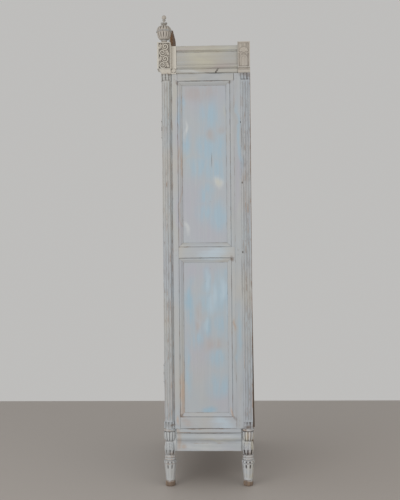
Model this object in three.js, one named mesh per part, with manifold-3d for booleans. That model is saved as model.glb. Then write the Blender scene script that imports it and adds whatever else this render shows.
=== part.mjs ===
// A bonnetiere: a tall one-door cupboard in painted wood, with fluted corner columns and turned legs.
// Lengths are in millimetres and angles in degrees. x runs across the front, with the hinges at +x.
// y runs from front to back and is zero at the front of the corner columns. z runs up from the floor.
// Pieces on the right, at +x, are made first, and those on the left are their mirror images.
import * as THREE from 'three';
import { mergeVertices } from 'three/addons/utils/BufferGeometryUtils.js';
import Module from 'manifold-3d';

const wasm = await Module();
wasm.setup();

// Carcass, over its flat side faces and from the columns' front to the back posts' rear
const bodyWidth = 900;
const bodyDepth = 418;
// Gap between pieces that are fitted together, and how far joined shapes reach into each other
const fitGap = 0.3;
const overrun = 4;

// Turned legs, from the floor up
const footRadius = 23;
const footHeight = 26;
const footRounding = 4;
const ankleRadius = 19.5;
const shaftRadius = 29;
const shaftHeight = 81;
const collarRadius = 30;
const collarHeight = 14;
const collarRounding = 2;
const ringRadius = 26.5;
const ringHeight = 12;
const ringNeckRadius = 22;
const bulbRadius = 27;
const bulbNeckRadius = 20;
const bulbHeight = 64;
const cupRadius = 31;
const cupNeckRadius = 21;
const cupHeight = 60;
const legSeatRadius = 28;
const legSeatHeight = 2;
const legCoreMargin = 0.5;
const legCoreOut = 13;
const backLegInset = 26;
const turnedSides = 20;
const ringSteps = 4;
const swellSteps = 6;

// Base rails between the legs
const baseRailHeight = 105;
const baseRailThickness = 40;
const baseBandHeight = 41;
const baseTorusHeight = 36;
const baseTorusProud = 8;
const baseFilletHeight = 20;
const baseFilletProud = 3;
const baseGroove = 4;

// Corner posts
const columnRadius = 25;
const columnProud = 6;
const columnHiddenAngle = 28;
const columnFlutes = 10;
const columnFluteDepth = 2.6;
const columnFluteShare = 0.62;
const frontPostReach = 75;
const backPostReach = 78;
const backPostWidth = 50;
const pilasterWidth = 45;
const pilasterProud = 3;
const pilasterFlutes = 3;
const pilasterMargin = 5;
const pilasterFluteShare = 0.7;
const pilasterFluteDepth = 2.4;
const backCornerRadius = 4;

// Side frames: rails and panels, with a moulding worked round each panel
const sideFrameThickness = 24;
const backStileStrip = 16;
const bottomRailFlat = 54;
const middleRailFlat = 51;
const topRailFlat = 33;
const lowerSight = 706;
const upperSight = 740;
const mouldWidth = 21;
const mouldDrop = 8.2;
const mouldBackStep = 0.5;
const panelRecess = 10;
const tongueThickness = 6;
const tongueReach = 10;
const fieldGap = 1;
const panelInset = 0.2;
const tenonThickness = 8;
const tenonLength = 25;
const tenonInset = 9;

// Door and its stop
const doorThickness = 26;
const doorBackGap = 0.5;
const doorEdgeGap = 2.6;
const doorEndGap = 3;
const doorStileFlat = 41;
const stopWidth = 12;

// Hinges: a lower half with the pin, and an upper half that lifts off it
const hingeEndDistance = 246;
const barrelRadius = 6.5;
const barrelLength = 42;
const barrelRounding = 1.5;
const barrelFaceGap = 0.5;
const hingeTipRadius = 4.6;
const hingeTipHeight = 13;
const hingeTipNeck = 2.6;
const pinRadius = 2.5;
const pinLength = 32;
const pinClearance = 0.1;
const leafThickness = 2;
const leafInset = 3;
const leafBackInset = 4;

// Rim lock on the inner face of the door, at the height of its middle rail
const caseWidth = 70;
const caseHeight = 84;
const caseDepth = 20;
const caseWall = 2;
const caseStopGap = 6;
const boltThickness = 8;
const boltHeight = 20;
const boltLength = 58;
const boltRise = 9;
const boltProud = 0.5;
const boltPocketDepth = 14;
const boltPocketGap = 0.6;
const keeperThickness = 2;
const keeperWidth = 17;
const keeperHeight = 46;
const keeperInset = 2;
const keyBackset = 30;
const keyDrop = 13;
const keyShaftRadius = 3.5;
const keyholeGap = 0.5;
const keyBitReach = 8;
const keyBitLength = 9;
const keyBitThickness = 3;
const keyBitGap = 0.7;
const keyTipGap = 1.2;
const keyNeckLength = 14;
const keyBowRadius = 12;
const keyBowWire = 3;
const keySides = 16;
const bowWireSides = 8;
const ovalSides = 24;
const escutcheonWidth = 20;
const escutcheonHeight = 54;
const escutcheonThickness = 1.8;

// Boards inside and behind
const floorThickness = 18;
const topBoardThickness = 15;
const shelfThickness = 20;
const shelfFront = 60;
const lowerShelfHeight = 700;
const upperShelfHeight = 1460;
const cleatThickness = 21;
const cleatHeight = 28;
const backRebateDepth = 14;
const backRebateWidth = 14;
const upperBackThickness = 13;
const lowerBackThickness = 12;
const backSplitHeight = 1040;
const backSplitGap = 1;
const backSpring = 7;

// Cornice: corner blocks with frieze rails between them
const friezeThickness = 30;
const friezeQuirkHeight = 4;
const friezeLowHeight = 17;
const friezeGrooveHeight = 7;
const friezeBeadHeight = 16;
const friezeFlatHeight = 57;
const friezeHollowHeight = 9;
const friezeTopHeight = 21;
const friezeLowProud = 3;
const friezeBeadProud = 5;
const friezeHollow = 3;
const friezeTopProud = 3;
const blockSize = 62;
const blockProud = 16;
const blockRise = 15;
const blockMouldHeight = 21;
const blockMouldProud = 2;
const blockStripWidth = 26;
const blockStripProud = 3;
const backBlockSize = 58;
const backBlockProud = 5;
const backBlockMouldHeight = 18;
const backBlockHollow = 6;
const backBlockHollowDepth = 4;

// Finials, from the block up
const finialNeckRadius = 11;
const finialNeckHeight = 20;
const finialBowlRadius = 33;
const finialBowlHeight = 32;
const finialRimRadius = 37.5;
const finialRimHeight = 7;
const finialDomeHeight = 26;
const finialDomeTopRadius = 8;
const finialSpindleRadius = 4.5;
const finialLowSpindle = 7;
const finialDiscRadius = 16;
const finialDiscHeight = 9;
const finialHighSpindle = 12;
const finialBallRadius = 10.5;
const ballAngles = [-60, -30, 0, 30, 60];

// Crest on the front frieze
const crestThickness = 24;
const crestInset = 2;
const crestHalfWidth = 340;
const crestHeight = 178;

// Outline of a flute across its width: place from -1 to 1, and its depth as a share
const fluteShares = [[-1, 0], [-0.6, 0.8], [0, 1], [0.6, 0.8], [1, 0]];
// Section of the panel moulding: place across it from the frame, and its drop, as shares
const mouldShares = [
  [0, 0], [0.06, 0.3], [0.13, 0.06], [0.24, 0], [0.36, 0.08],
  [0.52, 0.3], [0.7, 0.66], [0.84, 0.92], [0.92, 1], [1, 1],
];
// Hollow under a corner block: height as a share, and how far out it has come, as a share
const blockMouldShares = [[0, 0], [0.2, 0.06], [0.5, 0.3], [0.75, 0.7], [0.88, 1], [1, 1]];
// Right half of the crest: shares of its half width and of its height, from the top centre out
const crestShares = [
  [0, 1], [0.12, 0.985], [0.24, 1], [0.33, 0.965], [0.375, 0.895], [0.38, 0.82], [0.355, 0.74],
  [0.325, 0.66], [0.315, 0.59], [0.35, 0.54], [0.42, 0.5], [0.49, 0.43], [0.56, 0.36], [0.65, 0.32],
  [0.74, 0.35], [0.81, 0.34], [0.87, 0.26], [0.92, 0.16], [0.96, 0.1], [1, 0.06], [1, 0],
];
// A quarter turn and a rounded corner, as shares of their right angle
const quarterShares = [0, 0.3, 0.6, 0.85, 1];
const cornerShares = [0, 0.5, 1];

// Heights that follow from the sizes above
const collarBottom = footHeight + shaftHeight;
const ringBottom = collarBottom + collarHeight;
const bulbBottom = ringBottom + 2 * ringHeight;
const cupBottom = bulbBottom + bulbHeight;
const legSeatBottom = cupBottom + cupHeight;
const baseTop = legSeatBottom + legSeatHeight;
const baseRailBottom = baseTop - baseRailHeight;
const bodyBottom = baseTop + fitGap;
const bottomRailHigh = baseTop + bottomRailFlat;
const lowerSightLow = bottomRailHigh + mouldWidth;
const lowerSightHigh = lowerSightLow + lowerSight;
const middleRailLow = lowerSightHigh + mouldWidth;
const middleRailHigh = middleRailLow + middleRailFlat;
const upperSightLow = middleRailHigh + mouldWidth;
const upperSightHigh = upperSightLow + upperSight;
const topRailLow = upperSightHigh + mouldWidth;
const bodyTop = topRailLow + topRailFlat;
const corniceBottom = bodyTop + fitGap;
const friezeHeights = [
  friezeQuirkHeight, friezeLowHeight, friezeGrooveHeight, friezeBeadHeight,
  friezeFlatHeight, friezeHollowHeight, friezeTopHeight,
];
const friezeTop = bodyTop + friezeHeights.reduce((sum, height) => sum + height);
const blockTop = friezeTop + blockRise;

// Places across and along the carcass that follow from the sizes above
const legCoreReach = Math.max(cupRadius, bulbRadius) + legCoreMargin;
const halfBody = bodyWidth / 2;
const tangentX = halfBody + columnProud;
const columnX = tangentX - columnRadius;
const columnY = columnRadius;
const frontFace = columnProud;
const openingHalf = tangentX - frontPostReach;
const stopFace = frontFace + doorThickness + doorBackGap;
const stopHalf = openingHalf - stopWidth;
const sideInner = halfBody - sideFrameThickness;
const shoulderFront = frontPostReach;
const shoulderBack = bodyDepth - backPostReach;
const mouldBack = shoulderBack - backStileStrip;
const pilasterX = halfBody + pilasterProud;
const pilasterFront = bodyDepth - pilasterWidth;
const backPostInner = pilasterX - backPostWidth;
const backRebateX = backPostInner + backRebateWidth;
const backRebateY = bodyDepth - backRebateDepth;
const frontLeg = { x: columnX, y: columnY, inward: 1 };
const backLeg = { x: pilasterX - backLegInset, y: bodyDepth - backLegInset, inward: -1 };
const blockOuterX = tangentX + blockProud;
const blockInnerX = blockOuterX - blockSize;
const blockOuterY = -blockProud;
const blockInnerY = blockOuterY + blockSize;
const blockStripX = blockInnerX - blockStripWidth;
const blockStripY = blockInnerY + blockStripWidth;
const backBlockX = pilasterX + backBlockProud;
const backBlockInnerX = backBlockX - backBlockSize;
const backBlockFront = bodyDepth - backBlockSize;
const friezeInnerX = halfBody - friezeThickness;
const friezeInnerY = frontFace + friezeThickness;
const backFriezeInner = bodyDepth - friezeThickness;

// Places on the door that follow from the sizes above
const doorHalf = openingHalf - doorEdgeGap;
const doorBack = frontFace + doorThickness;
const doorLow = baseTop + doorEndGap;
const doorHigh = bodyTop - doorEndGap;
const doorShoulder = doorHalf - doorStileFlat;
const doorSight = doorShoulder - mouldWidth;
const hingeX = openingHalf - doorEdgeGap / 2;
const hingeY = frontFace - barrelFaceGap - barrelRadius;
const hingeLowHeight = doorLow + hingeEndDistance;
const hingeHighHeight = doorHigh - hingeEndDistance;
const lockHeight = (middleRailLow + middleRailHigh) / 2;
const keyX = -doorHalf + keyBackset;
const keyZ = lockHeight - keyDrop;
const caseOuterX = -stopHalf + caseStopGap;
const caseLow = lockHeight - caseHeight / 2;
const caseFront = doorBack + fitGap;
const caseBack = caseFront + caseDepth;
const boltLow = lockHeight - boltHeight / 2 + boltRise;
const boltFront = caseFront + (caseDepth - boltThickness) / 2;
const keeperMiddle = boltLow + boltHeight / 2;

// Finishes
const paint = { color: 0xaeb0aa, roughness: 0.75, metalness: 0 };
const panelPaint = { color: 0xa7b1b6, roughness: 0.75, metalness: 0 };
const bareWood = { color: 0x6a4a31, roughness: 0.7, metalness: 0 };
const insideWood = { color: 0xa58b6b, roughness: 0.75, metalness: 0 };
const iron = { color: 0x4a4542, roughness: 0.5, metalness: 0.9 };
const brass = { color: 0x9a7b43, roughness: 0.4, metalness: 0.9 };

// Triangles of a closed geometry as a solid that can be joined and cut
function solidOf(geometry) {
  const bare = geometry.index ? geometry.clone() : geometry;
  bare.deleteAttribute('normal');
  bare.deleteAttribute('uv');
  const merged = mergeVertices(bare);
  return new wasm.Manifold(new wasm.Mesh({
    numProp: 3,
    vertProperties: new Float32Array(merged.attributes.position.array),
    triVerts: new Uint32Array(merged.index.array),
  }));
}

// A solid's triangles as a three.js geometry
function geometryOf(solid) {
  const mesh = solid.getMesh();
  const geometry = new THREE.BufferGeometry();
  geometry.setAttribute('position', new THREE.BufferAttribute(mesh.vertProperties, 3));
  geometry.setIndex(new THREE.BufferAttribute(mesh.triVerts, 1));
  return geometry;
}

// Moves a geometry's points, and turns its faces over where the move mirrors it
function placed(geometry, matrix) {
  const moved = geometry.clone().applyMatrix4(matrix);
  if (matrix.determinant() > 0) return moved;
  const whole = moved.index ? moved : mergeVertices(moved);
  const index = whole.index.array;
  for (let i = 0; i < index.length; i += 3) {
    [index[i], index[i + 1]] = [index[i + 1], index[i]];
  }
  return whole;
}

// A box between two corners
function box(low, high) {
  return { low, high };
}

function boxSolid({ low, high }) {
  const size = high.map((value, axis) => value - low[axis]);
  const middle = high.map((value, axis) => (value + low[axis]) / 2);
  return solidOf(new THREE.BoxGeometry(...size).translate(...middle));
}

function grown({ low, high }, gap) {
  return box(low.map((value) => value - gap), high.map((value) => value + gap));
}

function joined(solid, others) {
  return others.reduce((sum, other) => sum.add(other), solid);
}

// Cuts from a solid the room that the given boxes need
function housed(solid, boxes) {
  return boxes.reduce((rest, piece) => rest.subtract(boxSolid(grown(piece, fitGap))), solid);
}

// A flat outline swept along one axis: first and second are the outline's axes
function prism(outline, first, second, sweep, start, length) {
  const shape = new THREE.Shape(outline.map(([a, b]) => new THREE.Vector2(a, b)));
  const flat = new THREE.ExtrudeGeometry(shape, { depth: length, bevelEnabled: false });
  const basis = new THREE.Matrix4().makeBasis(first, second, sweep);
  return solidOf(placed(flat.translate(0, 0, start), basis));
}

const axisX = new THREE.Vector3(1, 0, 0);
const axisY = new THREE.Vector3(0, 1, 0);
const axisZ = new THREE.Vector3(0, 0, 1);

function turned(profile, sides) {
  const points = profile.map(([radius, height]) => new THREE.Vector2(radius, height));
  return new THREE.LatheGeometry(points, sides).rotateX(Math.PI / 2);
}

function degrees(angle) {
  return THREE.MathUtils.degToRad(angle);
}

// Points of a swelling between two radii, with a sine's roundness
function swelling(bottom, height, inner, outer, steps) {
  return Array.from({ length: steps + 1 }, (_, i) => {
    const part = i / steps;
    return [inner + (outer - inner) * Math.sin(Math.PI * part), bottom + height * part];
  });
}

// A tongue on one end of a rail, which sits in a mortise of its neighbour
function tenon({ low, high }, axis, end, thickness, length, inset) {
  const across = 1 - axis;
  const middle = (low[across] + high[across]) / 2;
  const from = [...low];
  const to = [...high];
  from[across] = middle - thickness / 2;
  to[across] = middle + thickness / 2;
  from[2] += inset;
  to[2] -= inset;
  if (end > 0) {
    from[axis] = high[axis] - overrun;
    to[axis] = high[axis] + length;
  } else {
    from[axis] = low[axis] - length;
    to[axis] = low[axis] + overrun;
  }
  return box(from, to);
}

// One side of a panel's moulding, with its ends cut at 45 degrees and its root in the frame
function mouldStrip(start, across, outward, along, length, thickness) {
  const back = mouldBackStep - thickness;
  const face = mouldShares.map(([place, drop]) => [place * mouldWidth, -drop * mouldDrop]);
  const outline = [...face, [mouldWidth, back], [0, back], [-overrun, back], [-overrun, -mouldBackStep]];
  const shape = new THREE.Shape(outline.map(([a, b]) => new THREE.Vector2(a, b)));
  const strip = new THREE.ExtrudeGeometry(shape, { depth: length, bevelEnabled: false });
  const points = strip.attributes.position;
  for (let i = 0; i < points.count; i += 1) {
    const cut = fitGap + Math.max(points.getX(i), 0);
    points.setZ(i, points.getZ(i) > length / 2 ? length - cut : cut);
  }
  const basis = new THREE.Matrix4().makeBasis(across, outward, along).setPosition(start);
  return solidOf(placed(strip, basis));
}

// A column's round face in plan, with its flutes, from the front quirk round to the side one
function columnArc() {
  const pitch = 360 / columnFlutes;
  const half = pitch * columnFluteShare / 2;
  const first = columnHiddenAngle - 180;
  const last = 90 - columnHiddenAngle;
  const corner = -45;
  const at = (angle, radius) => [
    columnX + radius * Math.cos(degrees(angle)),
    columnY + radius * Math.sin(degrees(angle)),
  ];
  const arc = [at(first, columnRadius)];
  for (let i = -columnFlutes; i < columnFlutes; i += 1) {
    const middle = corner + (i + 1 / 2) * pitch;
    if (middle - half > first && middle + half < last) {
      fluteShares.forEach(([place, depth]) => {
        arc.push(at(middle + place * half, columnRadius - depth * columnFluteDepth));
      });
    }
  }
  return [...arc, at(last, columnRadius)];
}

function frontPostPlan() {
  return [
    [openingHalf, frontFace],
    [tangentX - 2 * columnRadius, frontFace],
    ...columnArc(),
    [halfBody, 2 * columnRadius],
    [halfBody, shoulderFront],
    [stopHalf, shoulderFront],
    [stopHalf, stopFace],
    [openingHalf, stopFace],
  ];
}

function backPostPlan() {
  const pitch = (pilasterWidth - pilasterMargin - backCornerRadius) / pilasterFlutes;
  const half = pitch * pilasterFluteShare / 2;
  const flutes = [];
  for (let i = 0; i < pilasterFlutes; i += 1) {
    const middle = pilasterFront + pilasterMargin + (i + 1 / 2) * pitch;
    fluteShares.forEach(([place, depth]) => {
      flutes.push([pilasterX - depth * pilasterFluteDepth, middle + place * half]);
    });
  }
  const corner = cornerShares.map((part) => {
    const angle = degrees(90 * part);
    return [
      pilasterX - backCornerRadius * (1 - Math.cos(angle)),
      bodyDepth - backCornerRadius * (1 - Math.sin(angle)),
    ];
  });
  return [
    [backPostInner, shoulderBack],
    [halfBody, shoulderBack],
    [halfBody, pilasterFront],
    [pilasterX, pilasterFront + fitGap],
    ...flutes,
    ...corner,
    [backRebateX, bodyDepth],
    [backRebateX, backRebateY],
    [backPostInner, backRebateY],
  ];
}

// Side rails, by the heights of their flat faces
function sideRailBox(low, high) {
  return box(
    [sideInner, shoulderFront + fitGap, low],
    [halfBody, shoulderBack - fitGap, high],
  );
}

const sideRailBoxes = {
  bottom: sideRailBox(bodyBottom, bottomRailHigh),
  middle: sideRailBox(middleRailLow, middleRailHigh),
  top: sideRailBox(topRailLow, bodyTop),
};

function sideTenon(rail, end) {
  return tenon(rail, 1, end, tenonThickness, tenonLength, tenonInset);
}

function allSideTenons(end) {
  return Object.values(sideRailBoxes).map((rail) => sideTenon(rail, end));
}

// Side panels: a field flush with the frame's inner face, and a tongue in the frame's grooves
function sideTongue(low, high) {
  return box(
    [halfBody - panelRecess - tongueThickness, shoulderFront + mouldWidth - tongueReach, low - tongueReach],
    [halfBody - panelRecess, mouldBack - mouldWidth + tongueReach, high + tongueReach],
  );
}

const sideTongues = [
  sideTongue(lowerSightLow, lowerSightHigh),
  sideTongue(upperSightLow, upperSightHigh),
];

function sidePanel(low, high) {
  const tongue = sideTongue(low, high);
  const field = box(
    [sideInner + panelInset, shoulderFront + mouldWidth + fieldGap, low + fieldGap],
    [halfBody - panelRecess - overrun, mouldBack - mouldWidth - fieldGap, high - fieldGap],
  );
  return boxSolid(tongue).add(boxSolid(field));
}

// Heights between the rails' flat faces, where the panels and their mouldings are
const panelHeights = [[bottomRailHigh, middleRailLow], [middleRailHigh, topRailLow]];

// The moulding along a side rail, above it or below it
function sideRailStrip(height, direction) {
  const start = new THREE.Vector3(halfBody, shoulderFront, height);
  const across = new THREE.Vector3(0, 0, direction);
  return mouldStrip(start, across, axisX, axisY, mouldBack - shoulderFront, sideFrameThickness);
}

function sideRail(rail, strips) {
  const ends = [sideTenon(rail, -1), sideTenon(rail, 1)].map(boxSolid);
  return housed(joined(boxSolid(rail), [...ends, ...strips]), sideTongues);
}

function sideBottomRail() {
  return sideRail(sideRailBoxes.bottom, [sideRailStrip(bottomRailHigh, 1)]);
}

function sideMiddleRail() {
  const strips = [sideRailStrip(middleRailLow, -1), sideRailStrip(middleRailHigh, 1)];
  return sideRail(sideRailBoxes.middle, strips);
}

function sideTopRail() {
  return sideRail(sideRailBoxes.top, [sideRailStrip(topRailLow, -1)]);
}

// The mouldings along a post, one beside each panel
function sidePostStrips(place, direction) {
  const across = new THREE.Vector3(0, direction, 0);
  return panelHeights.map(([low, high]) => {
    const start = new THREE.Vector3(halfBody, place, low);
    return mouldStrip(start, across, axisX, axisZ, high - low, sideFrameThickness);
  });
}

function frontPost() {
  const post = prism(frontPostPlan(), axisX, axisY, axisZ, bodyBottom, bodyTop - bodyBottom);
  const strips = sidePostStrips(shoulderFront, 1);
  return housed(joined(post, strips), [...sideTongues, ...allSideTenons(-1)]);
}

function backPost() {
  const post = prism(backPostPlan(), axisX, axisY, axisZ, bodyBottom, bodyTop - bodyBottom);
  const edges = panelHeights.map(([low, high]) => (
    boxSolid(box([sideInner, mouldBack, low + fitGap], [halfBody, shoulderBack + overrun, high - fitGap]))
  ));
  const strips = sidePostStrips(mouldBack, -1);
  return housed(joined(post, [...edges, ...strips]), [...sideTongues, ...allSideTenons(1)]);
}

// The pocket that the lock's bolt enters, cut in the post on the lock's side
function boltPocket(depthFrom, depthTo) {
  return box(
    [depthFrom, boltFront - boltPocketGap, boltLow - boltPocketGap],
    [depthTo, boltFront + boltThickness + boltPocketGap, boltLow + boltHeight + boltPocketGap],
  );
}

function frontPostLockSide() {
  const pocket = boltPocket(-stopHalf - boltPocketDepth, -stopHalf + overrun);
  return mirrored(frontPost()).subtract(boxSolid(pocket));
}

// Base rails
const frontBaseRail = box(
  [-frontLeg.x + legCoreReach + fitGap, frontFace, baseRailBottom],
  [frontLeg.x - legCoreReach - fitGap, frontFace + baseRailThickness, baseTop],
);
const backBaseRail = box(
  [-backLeg.x + legCoreReach + fitGap, bodyDepth - baseRailThickness, baseRailBottom],
  [backLeg.x - legCoreReach - fitGap, bodyDepth, baseTop],
);
const sideBaseRail = box(
  [halfBody - baseRailThickness, frontLeg.y + legCoreReach + fitGap, baseRailBottom],
  [halfBody, backLeg.y - legCoreReach - fitGap, baseTop],
);

function baseTenon(rail, axis, end) {
  return tenon(rail, axis, end, tenonThickness, tenonLength - overrun, tenonInset);
}

// Section of a moulded base rail: distance out from the rail's face, and height
function baseRailSection() {
  const bandTop = baseRailBottom + baseBandHeight;
  const torusLow = bandTop + baseGroove;
  const torusHigh = torusLow + baseTorusHeight;
  const filletLow = torusHigh + baseGroove;
  const filletHigh = filletLow + baseFilletHeight;
  const torus = swelling(torusLow, baseTorusHeight, 0, baseTorusProud, swellSteps);
  return [
    [-baseRailThickness, baseRailBottom],
    [0, baseRailBottom],
    [0, bandTop],
    [-baseFilletProud, torusLow],
    ...torus.slice(1, -1),
    [-baseFilletProud, torusHigh],
    [0, filletLow],
    [baseFilletProud, filletLow + baseFilletProud],
    [baseFilletProud, filletHigh],
    [0, baseTop],
    [-baseRailThickness, baseTop],
  ];
}

function sideBaseRailSolid() {
  const { low, high } = sideBaseRail;
  const section = baseRailSection().map(([out, height]) => [halfBody + out, height]);
  const bar = prism(section, axisX, axisZ, axisY, low[1], high[1] - low[1]);
  return joined(bar, [-1, 1].map((end) => boxSolid(baseTenon(sideBaseRail, 1, end))));
}

function frontBaseRailSolid() {
  const { low, high } = frontBaseRail;
  const section = baseRailSection().map(([out, height]) => [frontFace - out, height]);
  const bar = prism(section, axisY, axisZ, axisX, low[0], high[0] - low[0]);
  return joined(bar, [-1, 1].map((end) => boxSolid(baseTenon(frontBaseRail, 0, end))));
}

function backBaseRailSolid() {
  const ends = [-1, 1].map((end) => boxSolid(baseTenon(backBaseRail, 0, end)));
  return joined(boxSolid(backBaseRail), ends);
}

// A leg's profile, from the middle of its foot up to its seat
function legProfile() {
  return [
    [0, 0],
    [footRadius - footRounding, 0],
    [footRadius, footRounding],
    [footRadius, footHeight - footRounding],
    [ankleRadius, footHeight],
    [shaftRadius, collarBottom],
    [collarRadius, collarBottom + collarRounding],
    [collarRadius, ringBottom - collarRounding],
    ...swelling(ringBottom, ringHeight, ringNeckRadius, ringRadius, ringSteps),
    ...swelling(ringBottom + ringHeight, ringHeight, ringNeckRadius, ringRadius, ringSteps).slice(1),
    ...swelling(bulbBottom, bulbHeight, bulbNeckRadius, bulbRadius, swellSteps).slice(1),
    [cupNeckRadius, cupBottom + collarRounding],
    [(cupNeckRadius + 2 * cupRadius) / 3, cupBottom + cupHeight / 3],
    [cupRadius, cupBottom + cupHeight * 2 / 3],
    [cupRadius, legSeatBottom - 2 * footRounding],
    [legSeatRadius, legSeatBottom],
    [legSeatRadius, baseTop],
    [0, baseTop],
  ];
}

// A leg: the turned part, and behind it the square core that takes the rails
function leg({ x, y, inward }, mortises) {
  const round = solidOf(turned(legProfile(), turnedSides).translate(x, y, 0));
  const ys = [y - inward * legCoreOut, y + inward * legCoreReach].sort((a, b) => a - b);
  const core = box([x - legCoreReach, ys[0], baseRailBottom], [x + legCoreOut, ys[1], legSeatBottom]);
  return housed(round.add(boxSolid(core)), mortises);
}

function frontLegSolid() {
  return leg(frontLeg, [baseTenon(frontBaseRail, 0, 1), baseTenon(sideBaseRail, 1, -1)]);
}

function backLegSolid() {
  return leg(backLeg, [baseTenon(backBaseRail, 0, 1), baseTenon(sideBaseRail, 1, 1)]);
}

// Frieze rails
const sideFriezeBox = box(
  [friezeInnerX, blockStripY + fitGap, corniceBottom],
  [halfBody, backBlockFront - fitGap, friezeTop],
);
const frontFriezeBox = box(
  [-blockStripX + fitGap, frontFace, corniceBottom],
  [blockStripX - fitGap, friezeInnerY, friezeTop],
);
const backFriezeBox = box(
  [-backBlockInnerX + fitGap, backFriezeInner, corniceBottom],
  [backBlockInnerX - fitGap, bodyDepth, friezeTop],
);

function friezeTenon(rail, axis, end) {
  return tenon(rail, axis, end, tenonThickness, tenonLength - overrun, tenonInset);
}

// Section of a moulded frieze rail: distance out from the rail's face, and height
function friezeSection() {
  const outs = [
    -friezeHollow, friezeLowProud, -friezeHollow, friezeBeadProud, 0, -friezeHollow, friezeTopProud,
  ];
  const section = [[-friezeThickness, corniceBottom]];
  let height = bodyTop;
  outs.forEach((out, i) => {
    section.push([out, i === 0 ? corniceBottom : height + fitGap]);
    height += friezeHeights[i];
    section.push([out, height]);
  });
  return [...section, [-friezeThickness, friezeTop]];
}

function sideFriezeSolid() {
  const { low, high } = sideFriezeBox;
  const section = friezeSection().map(([out, height]) => [halfBody + out, height]);
  const bar = prism(section, axisX, axisZ, axisY, low[1], high[1] - low[1]);
  return joined(bar, [-1, 1].map((end) => boxSolid(friezeTenon(sideFriezeBox, 1, end))));
}

function frontFriezeSolid() {
  const { low, high } = frontFriezeBox;
  const section = friezeSection().map(([out, height]) => [frontFace - out, height]);
  const bar = prism(section, axisY, axisZ, axisX, low[0], high[0] - low[0]);
  return joined(bar, [-1, 1].map((end) => boxSolid(friezeTenon(frontFriezeBox, 0, end))));
}

function backFriezeSolid() {
  const ends = [-1, 1].map((end) => boxSolid(friezeTenon(backFriezeBox, 0, end)));
  return joined(boxSolid(backFriezeBox), ends);
}

// A front corner block: a hollow below, the square block, and strips that run to the friezes
function frontBlock() {
  const bottom = corniceBottom;
  const hollowTop = bodyTop + blockMouldHeight;
  const swell = blockProud - blockMouldProud;
  const hollow = (outer, direction, inner) => [
    ...blockMouldShares.map(([rise, out]) => [
      outer - direction * swell * (1 - out),
      bottom + rise * (hollowTop - bottom),
    ]),
    [inner, hollowTop],
    [inner, bottom],
  ];
  const alongY = prism(
    hollow(blockOuterX, 1, blockInnerX), axisX, axisZ, axisY, blockOuterY - overrun, blockSize + overrun,
  );
  const alongX = prism(
    hollow(blockOuterY, -1, blockInnerY), axisY, axisZ, axisX, blockInnerX, blockSize + overrun,
  );
  const square = box([blockInnerX, blockOuterY, hollowTop - fitGap], [blockOuterX, blockInnerY, blockTop]);
  const frontStrip = box(
    [blockStripX, frontFace - blockStripProud, bottom],
    [blockInnerX + overrun, friezeInnerY, friezeTop],
  );
  const sideStrip = box(
    [friezeInnerX, blockInnerY - overrun, bottom],
    [halfBody + blockStripProud, blockStripY, friezeTop],
  );
  const whole = joined(alongY.intersect(alongX), [square, frontStrip, sideStrip].map(boxSolid));
  return housed(whole, [friezeTenon(frontFriezeBox, 0, 1), friezeTenon(sideFriezeBox, 1, -1)]);
}

// A back corner block: a half-round foot, a hollow and the square block
function backBlock() {
  const footTop = bodyTop + backBlockMouldHeight;
  const squareLow = footTop + backBlockHollow;
  const foot = swelling(corniceBottom, footTop - corniceBottom, -backBlockHollowDepth, 0, ringSteps);
  const outline = [
    [backBlockInnerX, corniceBottom],
    ...foot.map(([out, height]) => [backBlockX + out, height]),
    [backBlockX - backBlockHollowDepth, squareLow],
    [backBlockX, squareLow + fitGap],
    [backBlockX, blockTop],
    [backBlockInnerX, blockTop],
  ];
  const block = prism(outline, axisX, axisZ, axisY, backBlockFront, backBlockSize);
  return housed(block, [friezeTenon(backFriezeBox, 0, 1), friezeTenon(sideFriezeBox, 1, 1)]);
}

// A finial: neck, bowl, rim, domed lid, spindle with a disc, and a ball
function finialProfile() {
  const bowlLow = blockTop + fitGap + finialNeckHeight;
  const rimLow = bowlLow + finialBowlHeight;
  const domeLow = rimLow + finialRimHeight;
  const domeHigh = domeLow + finialDomeHeight;
  const discLow = domeHigh + finialLowSpindle;
  const discHigh = discLow + finialDiscHeight;
  const ballMiddle = discHigh + finialHighSpindle + finialBallRadius;
  const bowl = quarterShares.map((part) => [
    finialNeckRadius + (finialBowlRadius - finialNeckRadius) * Math.sin(degrees(90 * part)),
    bowlLow + finialBowlHeight * (1 - Math.cos(degrees(90 * part))),
  ]);
  const dome = quarterShares.map((part) => [
    finialDomeTopRadius + (finialRimRadius - finialDomeTopRadius) * Math.cos(degrees(90 * part)),
    domeLow + finialDomeHeight * Math.sin(degrees(90 * part)),
  ]);
  const ball = ballAngles.map((angle) => [
    finialBallRadius * Math.cos(degrees(angle)),
    ballMiddle + finialBallRadius * Math.sin(degrees(angle)),
  ]);
  return [
    [0, blockTop + fitGap],
    [finialNeckRadius + collarRounding, blockTop + fitGap],
    [finialNeckRadius, blockTop + finialNeckHeight / 2],
    ...bowl,
    [finialRimRadius, rimLow + collarRounding],
    ...dome,
    [finialSpindleRadius, domeHigh + collarRounding],
    [finialSpindleRadius, discLow],
    [finialDiscRadius, discLow + collarRounding],
    [finialDiscRadius, discHigh - collarRounding],
    [finialSpindleRadius, discHigh],
    ...ball,
    [0, ballMiddle + finialBallRadius],
  ];
}

function finial() {
  const middleX = (blockInnerX + blockOuterX) / 2;
  const middleY = (blockInnerY + blockOuterY) / 2;
  return solidOf(turned(finialProfile(), turnedSides).translate(middleX, middleY, 0));
}

// The crest: a pierced outline with a full top and a scrolling wing on each side
function crest() {
  const bottom = friezeTop + fitGap;
  const right = crestShares.map(([out, rise]) => [out * crestHalfWidth, bottom + rise * crestHeight]);
  const left = right.slice(1).reverse().map(([x, z]) => [-x, z]);
  return prism([...left, ...right], axisX, axisZ, axisY, frontFace + crestInset, crestThickness);
}

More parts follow.
